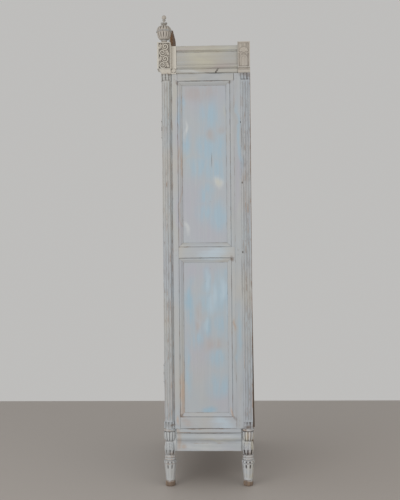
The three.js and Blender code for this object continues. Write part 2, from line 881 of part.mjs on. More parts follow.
// Boards: each is cut back where the corner posts stand
function bothSides(boxes) {
  const left = boxes.map(({ low, high }) => (
    box([-high[0], ...low.slice(1)], [-low[0], ...high.slice(1)])
  ));
  return [...boxes, ...left];
}

function postRooms() {
  return bothSides([
    box([stopHalf, 0, bodyBottom], [tangentX, shoulderFront, bodyTop]),
    box([backPostInner, shoulderBack, bodyBottom], [tangentX, bodyDepth, bodyTop]),
  ]);
}

function blockRooms() {
  return bothSides([
    box([blockInnerX, blockOuterY, corniceBottom], [blockOuterX, blockInnerY, blockTop]),
    box([backBlockInnerX, backBlockFront, corniceBottom], [backBlockX, bodyDepth, blockTop]),
  ]);
}

function fullBoard(front, low, thickness) {
  const half = sideInner - fitGap;
  const board = box([-half, front, low], [half, backRebateY - fitGap, low + thickness]);
  return housed(boxSolid(board), postRooms());
}

function floorBoard() {
  return fullBoard(stopFace, baseTop + fitGap, floorThickness);
}

function shelf(height) {
  return fullBoard(shelfFront, height, shelfThickness);
}

function cleat(shelfHeight) {
  const high = shelfHeight - fitGap;
  return boxSolid(box(
    [sideInner - fitGap - cleatThickness, shoulderFront + fitGap, high - cleatHeight],
    [sideInner - fitGap, shoulderBack - fitGap, high],
  ));
}

function topBoard() {
  const half = friezeInnerX - fitGap;
  const board = box(
    [-half, friezeInnerY + fitGap, corniceBottom],
    [half, backFriezeInner - fitGap, corniceBottom + topBoardThickness],
  );
  return housed(boxSolid(board), blockRooms());
}

function upperBackBoard() {
  const half = backRebateX - fitGap;
  const front = backRebateY + fitGap;
  return boxSolid(box(
    [-half, front, backSplitHeight + backSplitGap],
    [half, front + upperBackThickness, bodyTop],
  ));
}

// The lower back board has sprung away from the posts at its foot
function lowerBackBoard() {
  const half = backRebateX - fitGap;
  const top = bodyDepth - fitGap;
  const outline = [
    [top - lowerBackThickness + backSpring, bodyBottom],
    [top + backSpring, bodyBottom],
    [top, backSplitHeight],
    [top - lowerBackThickness, backSplitHeight],
  ];
  return prism(outline, axisY, axisZ, axisX, -half, 2 * half);
}

// Door rails, by the heights of their flat faces
function doorRailBox(low, high) {
  return box(
    [-doorShoulder + fitGap, frontFace, low],
    [doorShoulder - fitGap, doorBack, high],
  );
}

const doorRailBoxes = {
  bottom: doorRailBox(doorLow, bottomRailHigh),
  middle: doorRailBox(middleRailLow, middleRailHigh),
  top: doorRailBox(topRailLow, doorHigh),
};

function doorTenon(rail, end) {
  return tenon(rail, 0, end, tenonThickness, tenonLength, tenonInset);
}

function doorTongue(low, high) {
  const half = doorSight + tongueReach;
  return box(
    [-half, frontFace + panelRecess, low - tongueReach],
    [half, frontFace + panelRecess + tongueThickness, high + tongueReach],
  );
}

const doorTongues = [
  doorTongue(lowerSightLow, lowerSightHigh),
  doorTongue(upperSightLow, upperSightHigh),
];

function doorPanel(low, high) {
  const half = doorSight - fieldGap;
  const field = box(
    [-half, frontFace + panelRecess + overrun, low + fieldGap],
    [half, doorBack - panelInset, high - fieldGap],
  );
  return boxSolid(doorTongue(low, high)).add(boxSolid(field));
}

const outOfDoor = new THREE.Vector3(0, -1, 0);

function doorRailStrip(height, direction) {
  const start = new THREE.Vector3(-doorShoulder, frontFace, height);
  const across = new THREE.Vector3(0, 0, direction);
  return mouldStrip(start, across, outOfDoor, axisX, 2 * doorShoulder, doorThickness);
}

function doorRail(rail, strips) {
  const ends = [doorTenon(rail, -1), doorTenon(rail, 1)].map(boxSolid);
  return housed(joined(boxSolid(rail), [...ends, ...strips]), doorTongues);
}

// The stile on the hinges' side; the lock's stile is its mirror image with a keyhole
function doorStile() {
  const stile = box([doorShoulder, frontFace, doorLow], [doorHalf, doorBack, doorHigh]);
  const across = new THREE.Vector3(-1, 0, 0);
  const strips = panelHeights.map(([low, high]) => {
    const start = new THREE.Vector3(doorShoulder, frontFace, low);
    return mouldStrip(start, across, outOfDoor, axisZ, high - low, doorThickness);
  });
  const tenons = Object.values(doorRailBoxes).map((rail) => doorTenon(rail, 1));
  return housed(joined(boxSolid(stile), strips), [...doorTongues, ...tenons]);
}

// A keyhole: a round hole for the shaft, and below it a slot for the bit
function keyhole(front, back) {
  const round = new THREE.CylinderGeometry(
    keyShaftRadius + keyholeGap, keyShaftRadius + keyholeGap, back - front, keySides,
  );
  const half = keyBitThickness / 2 + keyBitGap;
  const slot = box(
    [keyX - half, front, keyZ - keyShaftRadius - keyBitReach - keyBitGap],
    [keyX + half, back, keyZ],
  );
  return solidOf(round.translate(keyX, (front + back) / 2, keyZ)).add(boxSolid(slot));
}

function lockStile() {
  return mirrored(doorStile()).subtract(keyhole(frontFace - overrun, doorBack + overrun));
}

// The middle rail, whose tenon on the lock's side is cut through by the keyhole
function doorMiddleRail() {
  const strips = [doorRailStrip(middleRailLow, -1), doorRailStrip(middleRailHigh, 1)];
  return doorRail(doorRailBoxes.middle, strips).subtract(keyhole(frontFace - overrun, doorBack + overrun));
}

// Hinge halves: round barrels with small turned tips, each with a leaf set between door and post
function hingeTip(end, direction) {
  return [
    [hingeTipNeck, end + direction * barrelRounding],
    [hingeTipRadius, end + direction * hingeTipHeight / 3],
    [hingeTipRadius, end + direction * hingeTipHeight * 2 / 3],
    [hingeTipNeck, end + direction * hingeTipHeight * 0.9],
    [0, end + direction * hingeTipHeight],
  ];
}

function hingeLeaf(low, high) {
  return boxSolid(box(
    [hingeX - leafThickness / 2, hingeY + (pinRadius + barrelRadius) / 2, low + leafInset],
    [hingeX + leafThickness / 2, doorBack - leafBackInset, high - leafInset],
  ));
}

function lowerHinge(height) {
  const low = height - barrelLength;
  const profile = [
    ...hingeTip(low, -1).reverse(),
    [barrelRadius - barrelRounding, low],
    [barrelRadius, low + barrelRounding],
    [barrelRadius, height],
    [pinRadius, height],
    [pinRadius, height + pinLength],
    [0, height + pinLength],
  ];
  const barrel = solidOf(turned(profile, turnedSides).translate(hingeX, hingeY, 0));
  return barrel.add(hingeLeaf(low, height));
}

function upperHinge(height) {
  const low = height + fitGap;
  const high = low + barrelLength;
  const bore = pinRadius + pinClearance;
  const profile = [
    [0, height + pinLength + fitGap],
    [bore, height + pinLength + fitGap],
    [bore, low],
    [barrelRadius, low],
    [barrelRadius, high - barrelRounding],
    [barrelRadius - barrelRounding, high],
    ...hingeTip(high, 1),
  ];
  const barrel = solidOf(turned(profile, turnedSides).translate(hingeX, hingeY, 0));
  return barrel.add(hingeLeaf(low, high));
}

// Lock pieces
function lockCase() {
  const right = caseOuterX + caseWidth;
  const top = caseLow + caseHeight;
  const outer = box([caseOuterX, caseFront, caseLow], [right, caseBack, top]);
  const inner = box(
    [caseOuterX + caseWall, caseFront - overrun, caseLow + caseWall],
    [right - caseWall, caseBack - caseWall, top - caseWall],
  );
  const slot = box(
    [caseOuterX - overrun, boltFront, boltLow],
    [caseOuterX + overrun, boltFront + boltThickness, boltLow + boltHeight],
  );
  return housed(boxSolid(outer).subtract(boxSolid(inner)), [slot]);
}

function lockBolt() {
  const tip = caseOuterX - boltProud;
  return boxSolid(box(
    [tip, boltFront, boltLow],
    [tip + boltLength, boltFront + boltThickness, boltLow + boltHeight],
  ));
}

function keeperPlate() {
  const left = -stopHalf + fitGap;
  const plate = box(
    [left, stopFace + keeperInset, keeperMiddle - keeperHeight / 2],
    [left + keeperThickness, stopFace + keeperInset + keeperWidth, keeperMiddle + keeperHeight / 2],
  );
  return boxSolid(plate).subtract(boxSolid(boltPocket(left - overrun, left + keeperThickness + overrun)));
}

// An oval plate round the keyhole, on the face of the door
function escutcheon() {
  const oval = Array.from({ length: ovalSides }, (_, i) => {
    const angle = 2 * Math.PI * i / ovalSides;
    return [keyX + Math.cos(angle) * escutcheonWidth / 2, keyZ + Math.sin(angle) * escutcheonHeight / 2];
  });
  const back = frontFace - fitGap;
  const plate = prism(oval, axisX, axisZ, axisY, back - escutcheonThickness, escutcheonThickness);
  return plate.subtract(keyhole(back - escutcheonThickness - overrun, back + overrun));
}

// The key: a ring bow, a shaft and a bit that points down at rest
function key() {
  const front = frontFace - escutcheonThickness - keyNeckLength;
  const tip = caseBack - caseWall - keyTipGap;
  const shaft = new THREE.CylinderGeometry(keyShaftRadius, keyShaftRadius, tip - front, keySides)
    .translate(keyX, (front + tip) / 2, keyZ);
  const bitFront = boltFront;
  const bit = box(
    [keyX - keyBitThickness / 2, bitFront, keyZ - keyShaftRadius - keyBitReach],
    [keyX + keyBitThickness / 2, bitFront + keyBitLength, keyZ],
  );
  const bow = new THREE.TorusGeometry(keyBowRadius, keyBowWire, bowWireSides, turnedSides)
    .rotateY(Math.PI / 2)
    .translate(keyX, front - keyBowRadius + keyBowWire / 3, keyZ);
  return joined(solidOf(shaft), [boxSolid(bit), solidOf(bow)]);
}

// The same solid on the other side of the cabinet
function mirrored(solid) {
  return solidOf(placed(geometryOf(solid), new THREE.Matrix4().makeScale(-1, 1, 1)));
}

// The whole cabinet stands with the middle of its outline over the origin
const foremost = frontFace - escutcheonThickness - keyNeckLength - 2 * keyBowRadius - keyBowWire * 2 / 3;
const hindmost = Math.max(bodyDepth - fitGap + backSpring, backLeg.y + cupRadius);
const cabinet = new THREE.Group();
cabinet.position.y = -(foremost + hindmost) / 2;

function group(parent, x, y, z) {
  const made = new THREE.Group();
  made.position.set(x, y, z);
  parent.add(made);
  return made;
}

const base = group(cabinet, 0, 0, 0);
const body = group(cabinet, 0, 0, baseTop);
const cornice = group(cabinet, 0, 0, bodyTop);
const door = group(cabinet, hingeX, hingeY, doorLow);

// Adds one named piece, placed by the middle of its own box
function add(parent, name, solid, finish) {
  const geometry = geometryOf(solid);
  geometry.computeBoundingBox();
  const middle = geometry.boundingBox.getCenter(new THREE.Vector3());
  geometry.translate(-middle.x, -middle.y, -middle.z);
  const mesh = new THREE.Mesh(geometry, new THREE.MeshStandardMaterial(finish));
  mesh.name = name;
  mesh.position.copy(middle.sub(parent.position));
  parent.add(mesh);
}

function addPair(parent, name, solid, finish) {
  add(parent, `${name}_right`, solid, finish);
  add(parent, `${name}_left`, mirrored(solid), finish);
}

addPair(base, 'leg_front', frontLegSolid(), paint);
addPair(base, 'leg_back', backLegSolid(), paint);
addPair(base, 'base_rail_side', sideBaseRailSolid(), paint);
add(base, 'base_rail_front', frontBaseRailSolid(), paint);
add(base, 'base_rail_back', backBaseRailSolid(), paint);
add(base, 'floor_board', floorBoard(), insideWood);

add(body, 'post_front_right', frontPost(), paint);
add(body, 'post_front_left', frontPostLockSide(), paint);
addPair(body, 'post_back', backPost(), paint);
addPair(body, 'side_rail_bottom', sideBottomRail(), paint);
addPair(body, 'side_rail_middle', sideMiddleRail(), paint);
addPair(body, 'side_rail_top', sideTopRail(), paint);
addPair(body, 'side_panel_lower', sidePanel(lowerSightLow, lowerSightHigh), panelPaint);
addPair(body, 'side_panel_upper', sidePanel(upperSightLow, upperSightHigh), panelPaint);
add(body, 'shelf_lower', shelf(lowerShelfHeight), insideWood);
add(body, 'shelf_upper', shelf(upperShelfHeight), insideWood);
addPair(body, 'cleat_lower', cleat(lowerShelfHeight), insideWood);
addPair(body, 'cleat_upper', cleat(upperShelfHeight), insideWood);
add(body, 'back_board_lower', lowerBackBoard(), insideWood);
add(body, 'back_board_upper', upperBackBoard(), insideWood);
add(body, 'hinge_lower_pin_half', lowerHinge(hingeLowHeight), iron);
add(body, 'hinge_upper_pin_half', lowerHinge(hingeHighHeight), iron);
add(body, 'keeper_plate', keeperPlate(), iron);

addPair(cornice, 'block_front', frontBlock(), paint);
addPair(cornice, 'block_back', backBlock(), paint);
addPair(cornice, 'frieze_side', sideFriezeSolid(), paint);
add(cornice, 'frieze_front', frontFriezeSolid(), paint);
add(cornice, 'frieze_back', backFriezeSolid(), insideWood);
add(cornice, 'top_board', topBoard(), insideWood);
add(cornice, 'crest', crest(), bareWood);
addPair(cornice, 'finial', finial(), paint);

add(door, 'door_stile_hinge', doorStile(), paint);
add(door, 'door_stile_lock', lockStile(), paint);
add(door, 'door_rail_bottom', doorRail(doorRailBoxes.bottom, [doorRailStrip(bottomRailHigh, 1)]), paint);
add(door, 'door_rail_middle', doorMiddleRail(), paint);
add(door, 'door_rail_top', doorRail(doorRailBoxes.top, [doorRailStrip(topRailLow, -1)]), paint);
add(door, 'door_panel_lower', doorPanel(lowerSightLow, lowerSightHigh), panelPaint);
add(door, 'door_panel_upper', doorPanel(upperSightLow, upperSightHigh), panelPaint);
add(door, 'hinge_lower_door_half', upperHinge(hingeLowHeight), iron);
add(door, 'hinge_upper_door_half', upperHinge(hingeHighHeight), iron);
add(door, 'lock_case', lockCase(), iron);
add(door, 'lock_bolt', lockBolt(), iron);
add(door, 'lock_key', key(), iron);
add(door, 'escutcheon', escutcheon(), brass);

export default cabinet;
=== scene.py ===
import math

import bpy
import numpy as np
from mathutils import Matrix, Vector


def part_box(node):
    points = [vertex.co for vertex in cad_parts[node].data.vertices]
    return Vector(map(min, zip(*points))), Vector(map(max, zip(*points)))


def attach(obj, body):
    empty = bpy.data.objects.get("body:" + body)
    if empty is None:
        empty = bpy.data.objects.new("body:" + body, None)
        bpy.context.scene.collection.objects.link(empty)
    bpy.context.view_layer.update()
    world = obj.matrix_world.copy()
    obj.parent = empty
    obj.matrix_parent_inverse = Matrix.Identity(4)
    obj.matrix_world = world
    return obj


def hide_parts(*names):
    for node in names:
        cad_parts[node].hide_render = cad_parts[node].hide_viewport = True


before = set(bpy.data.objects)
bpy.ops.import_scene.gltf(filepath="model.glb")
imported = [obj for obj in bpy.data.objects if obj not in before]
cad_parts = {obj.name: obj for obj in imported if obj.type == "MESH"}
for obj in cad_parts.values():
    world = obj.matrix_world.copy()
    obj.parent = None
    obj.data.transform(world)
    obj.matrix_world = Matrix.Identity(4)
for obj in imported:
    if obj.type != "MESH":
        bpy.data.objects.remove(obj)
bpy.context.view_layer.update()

# A painted bonnetiere, dressed round its CAD model.
# Lengths are in millimetres in the plan's axes: x runs across the front, y from front to back and is zero
# at the front of the corner columns, and z runs up from the floor. make() turns them into metres.
# Pieces on the right, at +x, are made first, and those on the left are their mirror images.

MM = 0.001
FAR = 1000.0
X, Y, Z = np.eye(3)
# Names of the marks: wear at edges, and darkening with dirt and painted shade in corners and in hollows
MARKS = ("edge", "crease", "hollow")

# Carcass, as in the CAD model
half_body, body_depth = 450.0, 418.0
body_bottom, body_top = 271.3, 1939.0
fit_gap = 0.3
origin_y = body_depth - 1000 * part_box("post_back_right")[1][1]

# How corners are rounded, and how finely sections and sweeps are divided near their corners and ends
corner_angle, smooth_angle = math.radians(20), math.radians(42)
edge_rounding = 0.8
near_corner = (1.5, 4.0, 9.0, 18.0)
near_end = (1.0, 3.0, 7.0, 14.0, 28.0)
near_sight = (1.0, 3.0, 6.0, 12.0, 25.0)
ground_rise = 0.15

# How far off a face a point may lie and still count as on it
face_slack = 0.01

# Corner posts
column_x, column_y, column_radius = 431.0, 25.0, 25.0
column_angles, column_step = (-152.0, 62.0), 3.0
column_flutes, column_flute_share, column_flute_depth = 10, 0.62, 2.6
opening_half, stop_half = 381.0, 369.0
front_face, stop_face = 6.0, 32.5
shoulder_front, shoulder_back, back_inner = 75.0, 340.0, 403.0
rebate_x, rebate_y = 417.0, 404.0
pilaster_x, pilaster_front = 453.0, 373.0
pilaster_margin, pilaster_corner = 5.0, 4.0
pilaster_flutes, pilaster_flute_share, pilaster_flute_depth = 3, 0.7, 2.4
cap_height, cap_relief = 32.0, 3.2
flute_end, flute_clear, flute_dirt_and_shade = 12.0, 1.0, 0.6

# Side frame and its panels
frame_thickness = 24.0
bottom_rail_high, middle_rail, top_rail_low = 325.0, (1073.0, 1124.0), 1906.0
panel_heights = ((bottom_rail_high, middle_rail[0]), (middle_rail[1], top_rail_low))
mould_back, mould_width, mould_drop = 324.0, 21.0, 8.2
mould_lap, mould_inset = 4.0, 1.0
panel_recess, tongue_reach, tongue_thickness = 10.0, 9.5, 6.0
mould_shares = (
    (0, 0), (0.03, 0.22), (0.075, 0.3), (0.12, 0.16), (0.15, 0.02), (0.24, 0), (0.34, 0.06), (0.44, 0.17),
    (0.54, 0.33), (0.64, 0.52), (0.74, 0.74), (0.82, 0.88), (0.88, 0.93), (0.92, 1), (1, 1),
)

# Door
door_half, door_shoulder, door_thickness = 378.4, 337.4, 26.0
door_low, door_high = 274.0, 1936.0

# Legs, from the floor up: place of a leg, and which way its core reaches along y
front_leg, back_leg = (431.0, 25.0, 1), (427.0, 392.0, -1)
leg_sides, leg_step = 96, 1.8
foot_height = 26.0
collar_bottom, ring_bottom, ring_height = 107.0, 121.0, 12.0
bulb_bottom, cup_bottom = 145.0, 209.0
seat_bottom, base_top = 269.0, 271.0
leg_core, leg_core_out = 31.5, 13.0
leg_leaves, leg_notches, leg_tongues = 8, 10, 12

# Base rails
base_bottom, base_thickness = 166.0, 40.0
base_torus, base_torus_proud = (211.0, 247.0), 6.0
base_fillet, base_fillet_proud = (251.0, 268.0), 3.0
base_groove = 4.0

# Cornice
cornice_bottom, frieze_top, block_top = 1939.3, 2070.0, 2085.0
frieze_thickness = 30.0
block_inner_x, block_outer_x = 410.0, 472.0
block_outer_y, block_inner_y = -16.0, 46.0
block_strip, block_hollow, block_inset = 26.0, 21.0, 11.0
strip_proud, face_margin = 3.0, 0.2
front_relief, back_relief, crest_relief = 6.0, 2.6, 7.0
flower_size, border_slope = 20.0, 1.2
back_block_x, back_block_inner_x, back_block_front = 458.0, 400.0, 360.0
crest_bottom, crest_top, crest_half = 2070.3, 2248.3, 340.0
crest_front, crest_back, crest_step = 8.0, 32.0, 2.5
shell_reach, boss_reach = 74.0, 26.0
band_low, band_height, band_depth, band_margin, band_flutes = 50.0, 44.0, 2.4, 30.0, 36
finial_gadroons, finial_beads = 14, 36

# Boards and shelves
shelf_front = 60.0
shelf_thickness, floor_thickness, top_thickness = 20.0, 18.0, 15.0
shelf_heights = {"lower": 700.0, "upper": 1460.0}
cleat_thickness, cleat_height = 21.0, 28.0
inside_x, board_half = half_body - frame_thickness - fit_gap, rebate_x - fit_gap
board_split, board_spring = 1040.0, 7.0
upper_board_thickness, lower_board_thickness = 13.0, 12.0
plank_joints, plank_groove = (-0.61, -0.2, 0.17, 0.58), 2.2
plank_dirt, plank_side_shade = (0.1, 0.5, 0.0, 0.35, 0.15), 1.4
nail_radius, nail_proud, nail_beside, nail_inset = 2.6, 0.25, 18.0, 14.0

# Hinges and lock
hinge_x, hinge_y = 379.7, -1.0
hinge_heights = {"lower": 520.0, "upper": 1690.0}
barrel_length = 42.0
pin_radius, pin_length, pin_bore = 2.5, 32.0, 2.6
flap_half, flap_end, flap_front, flap_back = 1.0, 3.0, 3.5, 28.0
key_x, key_z = -348.4, 1085.5
key_front, key_tip = -9.8, 49.1
bow_radius, bow_wire = 12.0, 2.8
bit_half, bit_front, bit_back, bit_low, bit_high = 1.5, 38.3, 47.3, 11.5, 2.0
plate_half_width, plate_half_height, plate_back = 10.0, 27.0, 5.7
plate_beads = 34
hole_radius, slot_half, slot_reach = 4.0, 2.2, 12.2
case_low, case_high = (-363.0, 32.3, 1056.5), (-293.0, 52.3, 1140.5)
cover_inset, cover_thickness = 3.0, 1.0
screw_radius, screw_proud, screw_inset = 3.6, 0.8, 9.0
peg_heights = (286.0, 308.0, 1086.0, 1110.0, 1914.0, 1928.0)
peg_radius, peg_proud = 3.0, 0.3
peg_front, peg_back, peg_door = 63.0, 353.0, 351.4

# The hole in the lock stile under the escutcheon
keyhole_half = 4.3
keyhole_ends = (key_z - slot_reach - 0.4, key_z + 4.3)

# The pocket in the left front post that the bolt enters, and how steep its walls are drawn
pocket_sides, pocket_ends, pocket_depth = (37.7, 46.9), (1096.9, 1118.1), 14.0
pocket_lean, pocket_inset = 0.02, 2.0

# How far the spots of the left side lie from where the right side has them, along y and z in metres,
# and how deep spots and scars reach into a piece
left_shift = (0.03, 0.13)
spot_depth, scar_depth = 60.0, 25.0

# The photograph's camera: yaw, pitch and roll in degrees, focal length, and place in the plan's axes
camera_angles, camera_lens = (2.1905, -0.0414, 0.5490), 55.15
camera_x, camera_y, camera_z = 4046.4, 312.7, 1108.0

# Stage, in metres
floor_half, light_target = 1.6, (0.3, 0, 1.0)


def srgb(red, green, blue):
    """A colour given in display values from 0 to 255, as the linear values that shaders take."""
    return tuple((value / 255) ** 2.2 for value in (red, green, blue)) + (1.0,)


# Paints and woods
cool_paint = srgb(176, 182, 187)
warm_paint = srgb(184, 182, 176)
lilac_paint = srgb(177, 176, 186)
pale_paint = srgb(202, 205, 206)
cream_white = srgb(216, 211, 200)
cool_white = srgb(206, 208, 208)
blue_paint = srgb(160, 185, 201)
pale_blue = srgb(186, 203, 215)
deep_blue = srgb(148, 181, 201)
cream_paint = srgb(196, 192, 172)
beige_paint = srgb(190, 182, 170)
dull_beige = srgb(178, 169, 157)
yellow_paint = srgb(190, 178, 142)
frieze_cream = srgb(178, 174, 163)
grey_paint = srgb(170, 172, 173)
taupe_paint = srgb(166, 157, 147)
pink_wood = srgb(176, 166, 162)
brown_wood = srgb(112, 92, 76)
orange_wood = srgb(176, 150, 128)
peach_wood = srgb(198, 168, 143)
foot_wood = srgb(134, 112, 90)
warm_oak = srgb(128, 98, 72)
dark_oak = srgb(92, 68, 50)
# Brown of dirt, used also for painted shade in corners, hollows and gaps
dirt_and_shade_brown = srgb(66, 58, 53)


class Shape:
    """Points and faces in plan millimetres. Each point has three marks: its distance from a worn edge, its
    distance from a corner that is darkened with dirt and painted shade, both in millimetres, and how deep it
    lies in a hollow, from 0 to 1, which is darkened the same way. Sweeps, lathes and plates return the shape
    that they add to."""

    def __init__(self):
        self.points, self.marks, self.faces, self.count = [], [], [], 0

    def add(self, points, marks, faces, flip=False):
        start = self.count
        points = np.asarray(points, float).reshape(-1, 3)
        self.points.append(points)
        self.marks.append(np.asarray(marks, float).reshape(-1, 3))
        self.count += len(points)
        step = -1 if flip else 1
        self.faces += [tuple(start + corner for corner in face[::step]) for face in faces]
        return self

    def mirrored(self):
        points = np.concatenate(self.points) * (-1, 1, 1)
        return Shape().add(points, np.concatenate(self.marks), self.faces, flip=True)


def marks_of(edge, crease, hollow):
    return np.stack(np.broadcast_arrays(edge, crease, hollow), axis=-1)


def divide(length, near):
    """Places along a length, close together near both of its ends."""
    places = [place for place in near if place < 0.45 * length]
    middle = [length / 2] if places else []
    return [0.0] + places + middle + [length - place for place in reversed(places)]


def corners_rounded(outline, closed, rounding):
    """The outline's points, each with 1 on a rounded outer corner, 2 at an inner corner, or 0."""
    knots = []
    for i, here in enumerate(outline):
        if not closed and i in (0, len(outline) - 1):
            knots.append((here, 0))
            continue
        back = here - outline[i - 1]
        ahead = outline[(i + 1) % len(outline)] - here
        turn = math.atan2(back[0] * ahead[1] - back[1] * ahead[0], back @ ahead)
        before, after = np.linalg.norm(back), np.linalg.norm(ahead)
        reach = min(rounding, 0.4 * before, 0.4 * after)
        if turn > corner_angle:
            start, end = here - back / before * reach, here + ahead / after * reach
            knots += [(start, 1), ((start + 2 * here + end) / 4, 1), (end, 1)]
        else:
            knots.append((here, 2 if turn < -corner_angle else 0))
    return knots


def trace(outline, closed=True, rounding=edge_rounding, step=None):
    """A section: the outline with outer corners rounded and long sides divided, and its points' marks."""
    outline = np.array(outline, float)
    after = np.roll(outline, -1, axis=0)
    if closed and np.sum(outline[:, 0] * after[:, 1] - after[:, 0] * outline[:, 1]) < 0:
        outline = outline[::-1]
    knots = corners_rounded(outline, closed, rounding)
    following = knots[1:] + knots[:1] if closed else knots[1:]
    points, kinds = [], []
    for (here, kind), (there, _) in zip(knots, following):
        length = np.linalg.norm(there - here)
        if length == 0:
            continue
        parts = math.ceil(length / step) if step else 1
        places = [length * i / parts for i in range(parts)] if step else divide(length, near_corner)
        points += [here + (there - here) * place / length for place in places]
        kinds += [kind] + [0] * (len(places) - 1)
    if not closed:
        points.append(knots[-1][0])
        kinds.append(0)
    points, kinds = np.array(points), np.array(kinds)
    gaps = np.linalg.norm(np.roll(points, -1, axis=0) - points, axis=1)
    along = np.concatenate([[0], np.cumsum(gaps[:-1])])
    marks = np.zeros((len(points), 3))
    for i, kind in enumerate((1, 2)):
        corners = along[kinds == kind]
        away = np.abs(along[:, None] - corners[None])
        if closed:
            away = np.minimum(away, gaps.sum() - away)
        marks[:, i] = away.min(axis=1) if len(corners) else FAR
    return points, marks


def grid_faces(rows, columns, closed):
    """Quads between the rows of a grid, which may close on itself along its columns."""
    reach = columns if closed else columns - 1
    return [
        (i * columns + j, i * columns + (j + 1) % columns,
         (i + 1) * columns + (j + 1) % columns, (i + 1) * columns + j)
        for i in range(rows - 1) for j in range(reach)
    ]


def sweep(
    shape, section, axes, start, end, origin=(0, 0, 0), ends="edge edge", cut=None, morph=None, stops=(),
):
    """Sweeps a section along the third axis. Each end is a bare edge or a joint; cut gives how much
    shorter the sweep is at each point of the section, and morph changes the section along the way."""
    points, marks = section
    first, second, along = axes
    length = end - start
    places = sorted({*divide(length, near_end), length, *(stop - start for stop in stops)})
    low_kind, high_kind = (MARKS.index(kind) for kind in ends.replace("joint", "crease").split())
    rows, row_marks = [], []
    for place in places:
        flat, here = (points, marks) if morph is None else morph(points, marks, start + place)
        here = here.copy()
        here[:, low_kind] = np.minimum(here[:, low_kind], place)
        here[:, high_kind] = np.minimum(here[:, high_kind], length - place)
        travel = start + place + (0 if cut is None else cut(flat) * (1 - 2 * place / length))
        rows.append(flat[:, :1] * first + flat[:, 1:] * second + np.reshape(travel, (-1, 1)) * along + origin)
        row_marks.append(here)
    count = len(points)
    last = (len(rows) - 1) * count
    faces = grid_faces(len(rows), count, True)
    faces += [tuple(reversed(range(count))), tuple(range(last, last + count))]
    flip = np.dot(np.cross(first, second), along) < 0
    return shape.add(np.concatenate(rows), np.concatenate(row_marks), faces, flip)


def rounded_box(shape, low, high, along=2, ends="edge edge", rounding=edge_rounding):
    """A box with rounded edges, swept along one of the axes."""
    first, second = (along + 1) % 3, (along + 2) % 3
    outline = [
        (low[first], low[second]), (high[first], low[second]),
        (high[first], high[second]), (low[first], high[second]),
    ]
    axes = np.eye(3)[[first, second, along]]
    return sweep(shape, trace(outline, rounding=rounding), axes, low[along], high[along], ends=ends)


def lathe(shape, centre, profile, sides, step=2.0, swell=None, rounding=edge_rounding, axis=Z, side=X):
    """Turns a profile of (radius, height) points round an axis. It starts and ends on the axis. swell gives
    how much the surface stands out, and how deep its hollows are, at each angle and height."""
    line, marks = trace(profile, closed=False, rounding=rounding, step=step)
    inner, inner_marks = line[1:-1], marks[1:-1]
    angle = np.arange(sides) * 2 * np.pi / sides
    radius = np.repeat(inner[:, :1], sides, axis=1)
    height = np.repeat(inner[:, 1:], sides, axis=1)
    spread = np.repeat(inner_marks[:, None, :], sides, axis=1)
    if swell is not None:
        out, hollow = swell(angle[None, :], height)
        radius = np.maximum(radius + out, 0.2)
        spread[..., 2] = np.clip(hollow, 0, 1)
        spread[..., 1] = np.minimum(spread[..., 1], 7 * (1 - spread[..., 2]) + 1)
    centre = np.array(centre, float)
    around = np.cos(angle)[:, None] * side + np.sin(angle)[:, None] * np.cross(axis, side)
    points = centre + radius[..., None] * around[None] + height[..., None] * axis
    count = len(inner) * sides
    top = count - sides
    ends = [centre + line[i, 1] * axis for i in (0, -1)]
    faces = grid_faces(len(inner), sides, True)
    faces += [(count, (j + 1) % sides, j) for j in range(sides)]
    faces += [(count + 1, top + j, top + (j + 1) % sides) for j in range(sides)]
    all_marks = np.concatenate([spread.reshape(-1, 3), marks[[0, -1]]])
    return shape.add(np.concatenate([points.reshape(-1, 3), ends]), all_marks, faces)


def ring_loft(shape, rings, marks, flip=False):
    """A surface through rings of points, the last one joined to the first, as round a hole."""
    count, around = rings.shape[:2]
    faces = grid_faces(count + 1, around, True)
    faces = [tuple(corner % (count * around) for corner in face) for face in faces]
    return shape.add(rings, marks, faces, flip)


def head(shape, place, out, side, radius=3.4, proud=0.5):
    """The head of a peg, nail or screw, marked as a hollow round its foot, where it is darkened with dirt and
    painted shade.
    """
    profile = [(0, -1), (radius, -1), (radius, 0.4 * proud), (0.8 * radius, proud), (0, proud)]

    def swell(angle, height):
        return 0 * height, 0.8 * (height < 0.5 * proud) + 0 * angle

    lathe(shape, place, profile, 14, 1.0, swell, rounding=0.1, axis=out, side=side)


def pegs(shape, x, y, out, side, heights=peg_heights):
    """The pegs of a frame's joints, one above the other."""
    for height in heights:
        head(shape, (x, y, height), out, side, peg_radius, peg_proud)


def plate(shape, origin, axes, us, vs, top, bottom, marks, keep=None):
    """A closed sheet over a grid of two axes, with a surface of given heights and a flat back. keep says
    which of the grid's points it covers."""
    u_axis, v_axis, out = axes
    flat = origin + us[:, None, None] * u_axis + vs[None, :, None] * v_axis
    face = (flat + top[..., None] * out).reshape(-1, 3)
    back = (flat + bottom * out).reshape(-1, 3)
    covered = np.ones(top.size, bool) if keep is None else keep.ravel()
    grid = grid_faces(len(us), len(vs), False)
    quads = [tuple(reversed(quad)) for quad in grid if covered[list(quad)].all()]
    edges = {(quad[i - 1], quad[i]) for quad in quads for i in range(4)}
    used = sorted({corner for quad in quads for corner in quad})
    place = {corner: i for i, corner in enumerate(used)}
    count = len(used)
    faces = [tuple(place[corner] for corner in quad) for quad in quads]
    faces += [tuple(count + corner for corner in reversed(face)) for face in list(faces)]
    for start, end in sorted(edges):
        if (end, start) not in edges:
            a, b = place[start], place[end]
            faces.append((a, count + a, count + b, b))
    marks = marks.reshape(-1, 3)[used]
    flip = np.dot(np.cross(u_axis, v_axis), out) < 0
    return shape.add(np.concatenate([face[used], back[used]]), np.concatenate([marks, marks]), faces, flip)


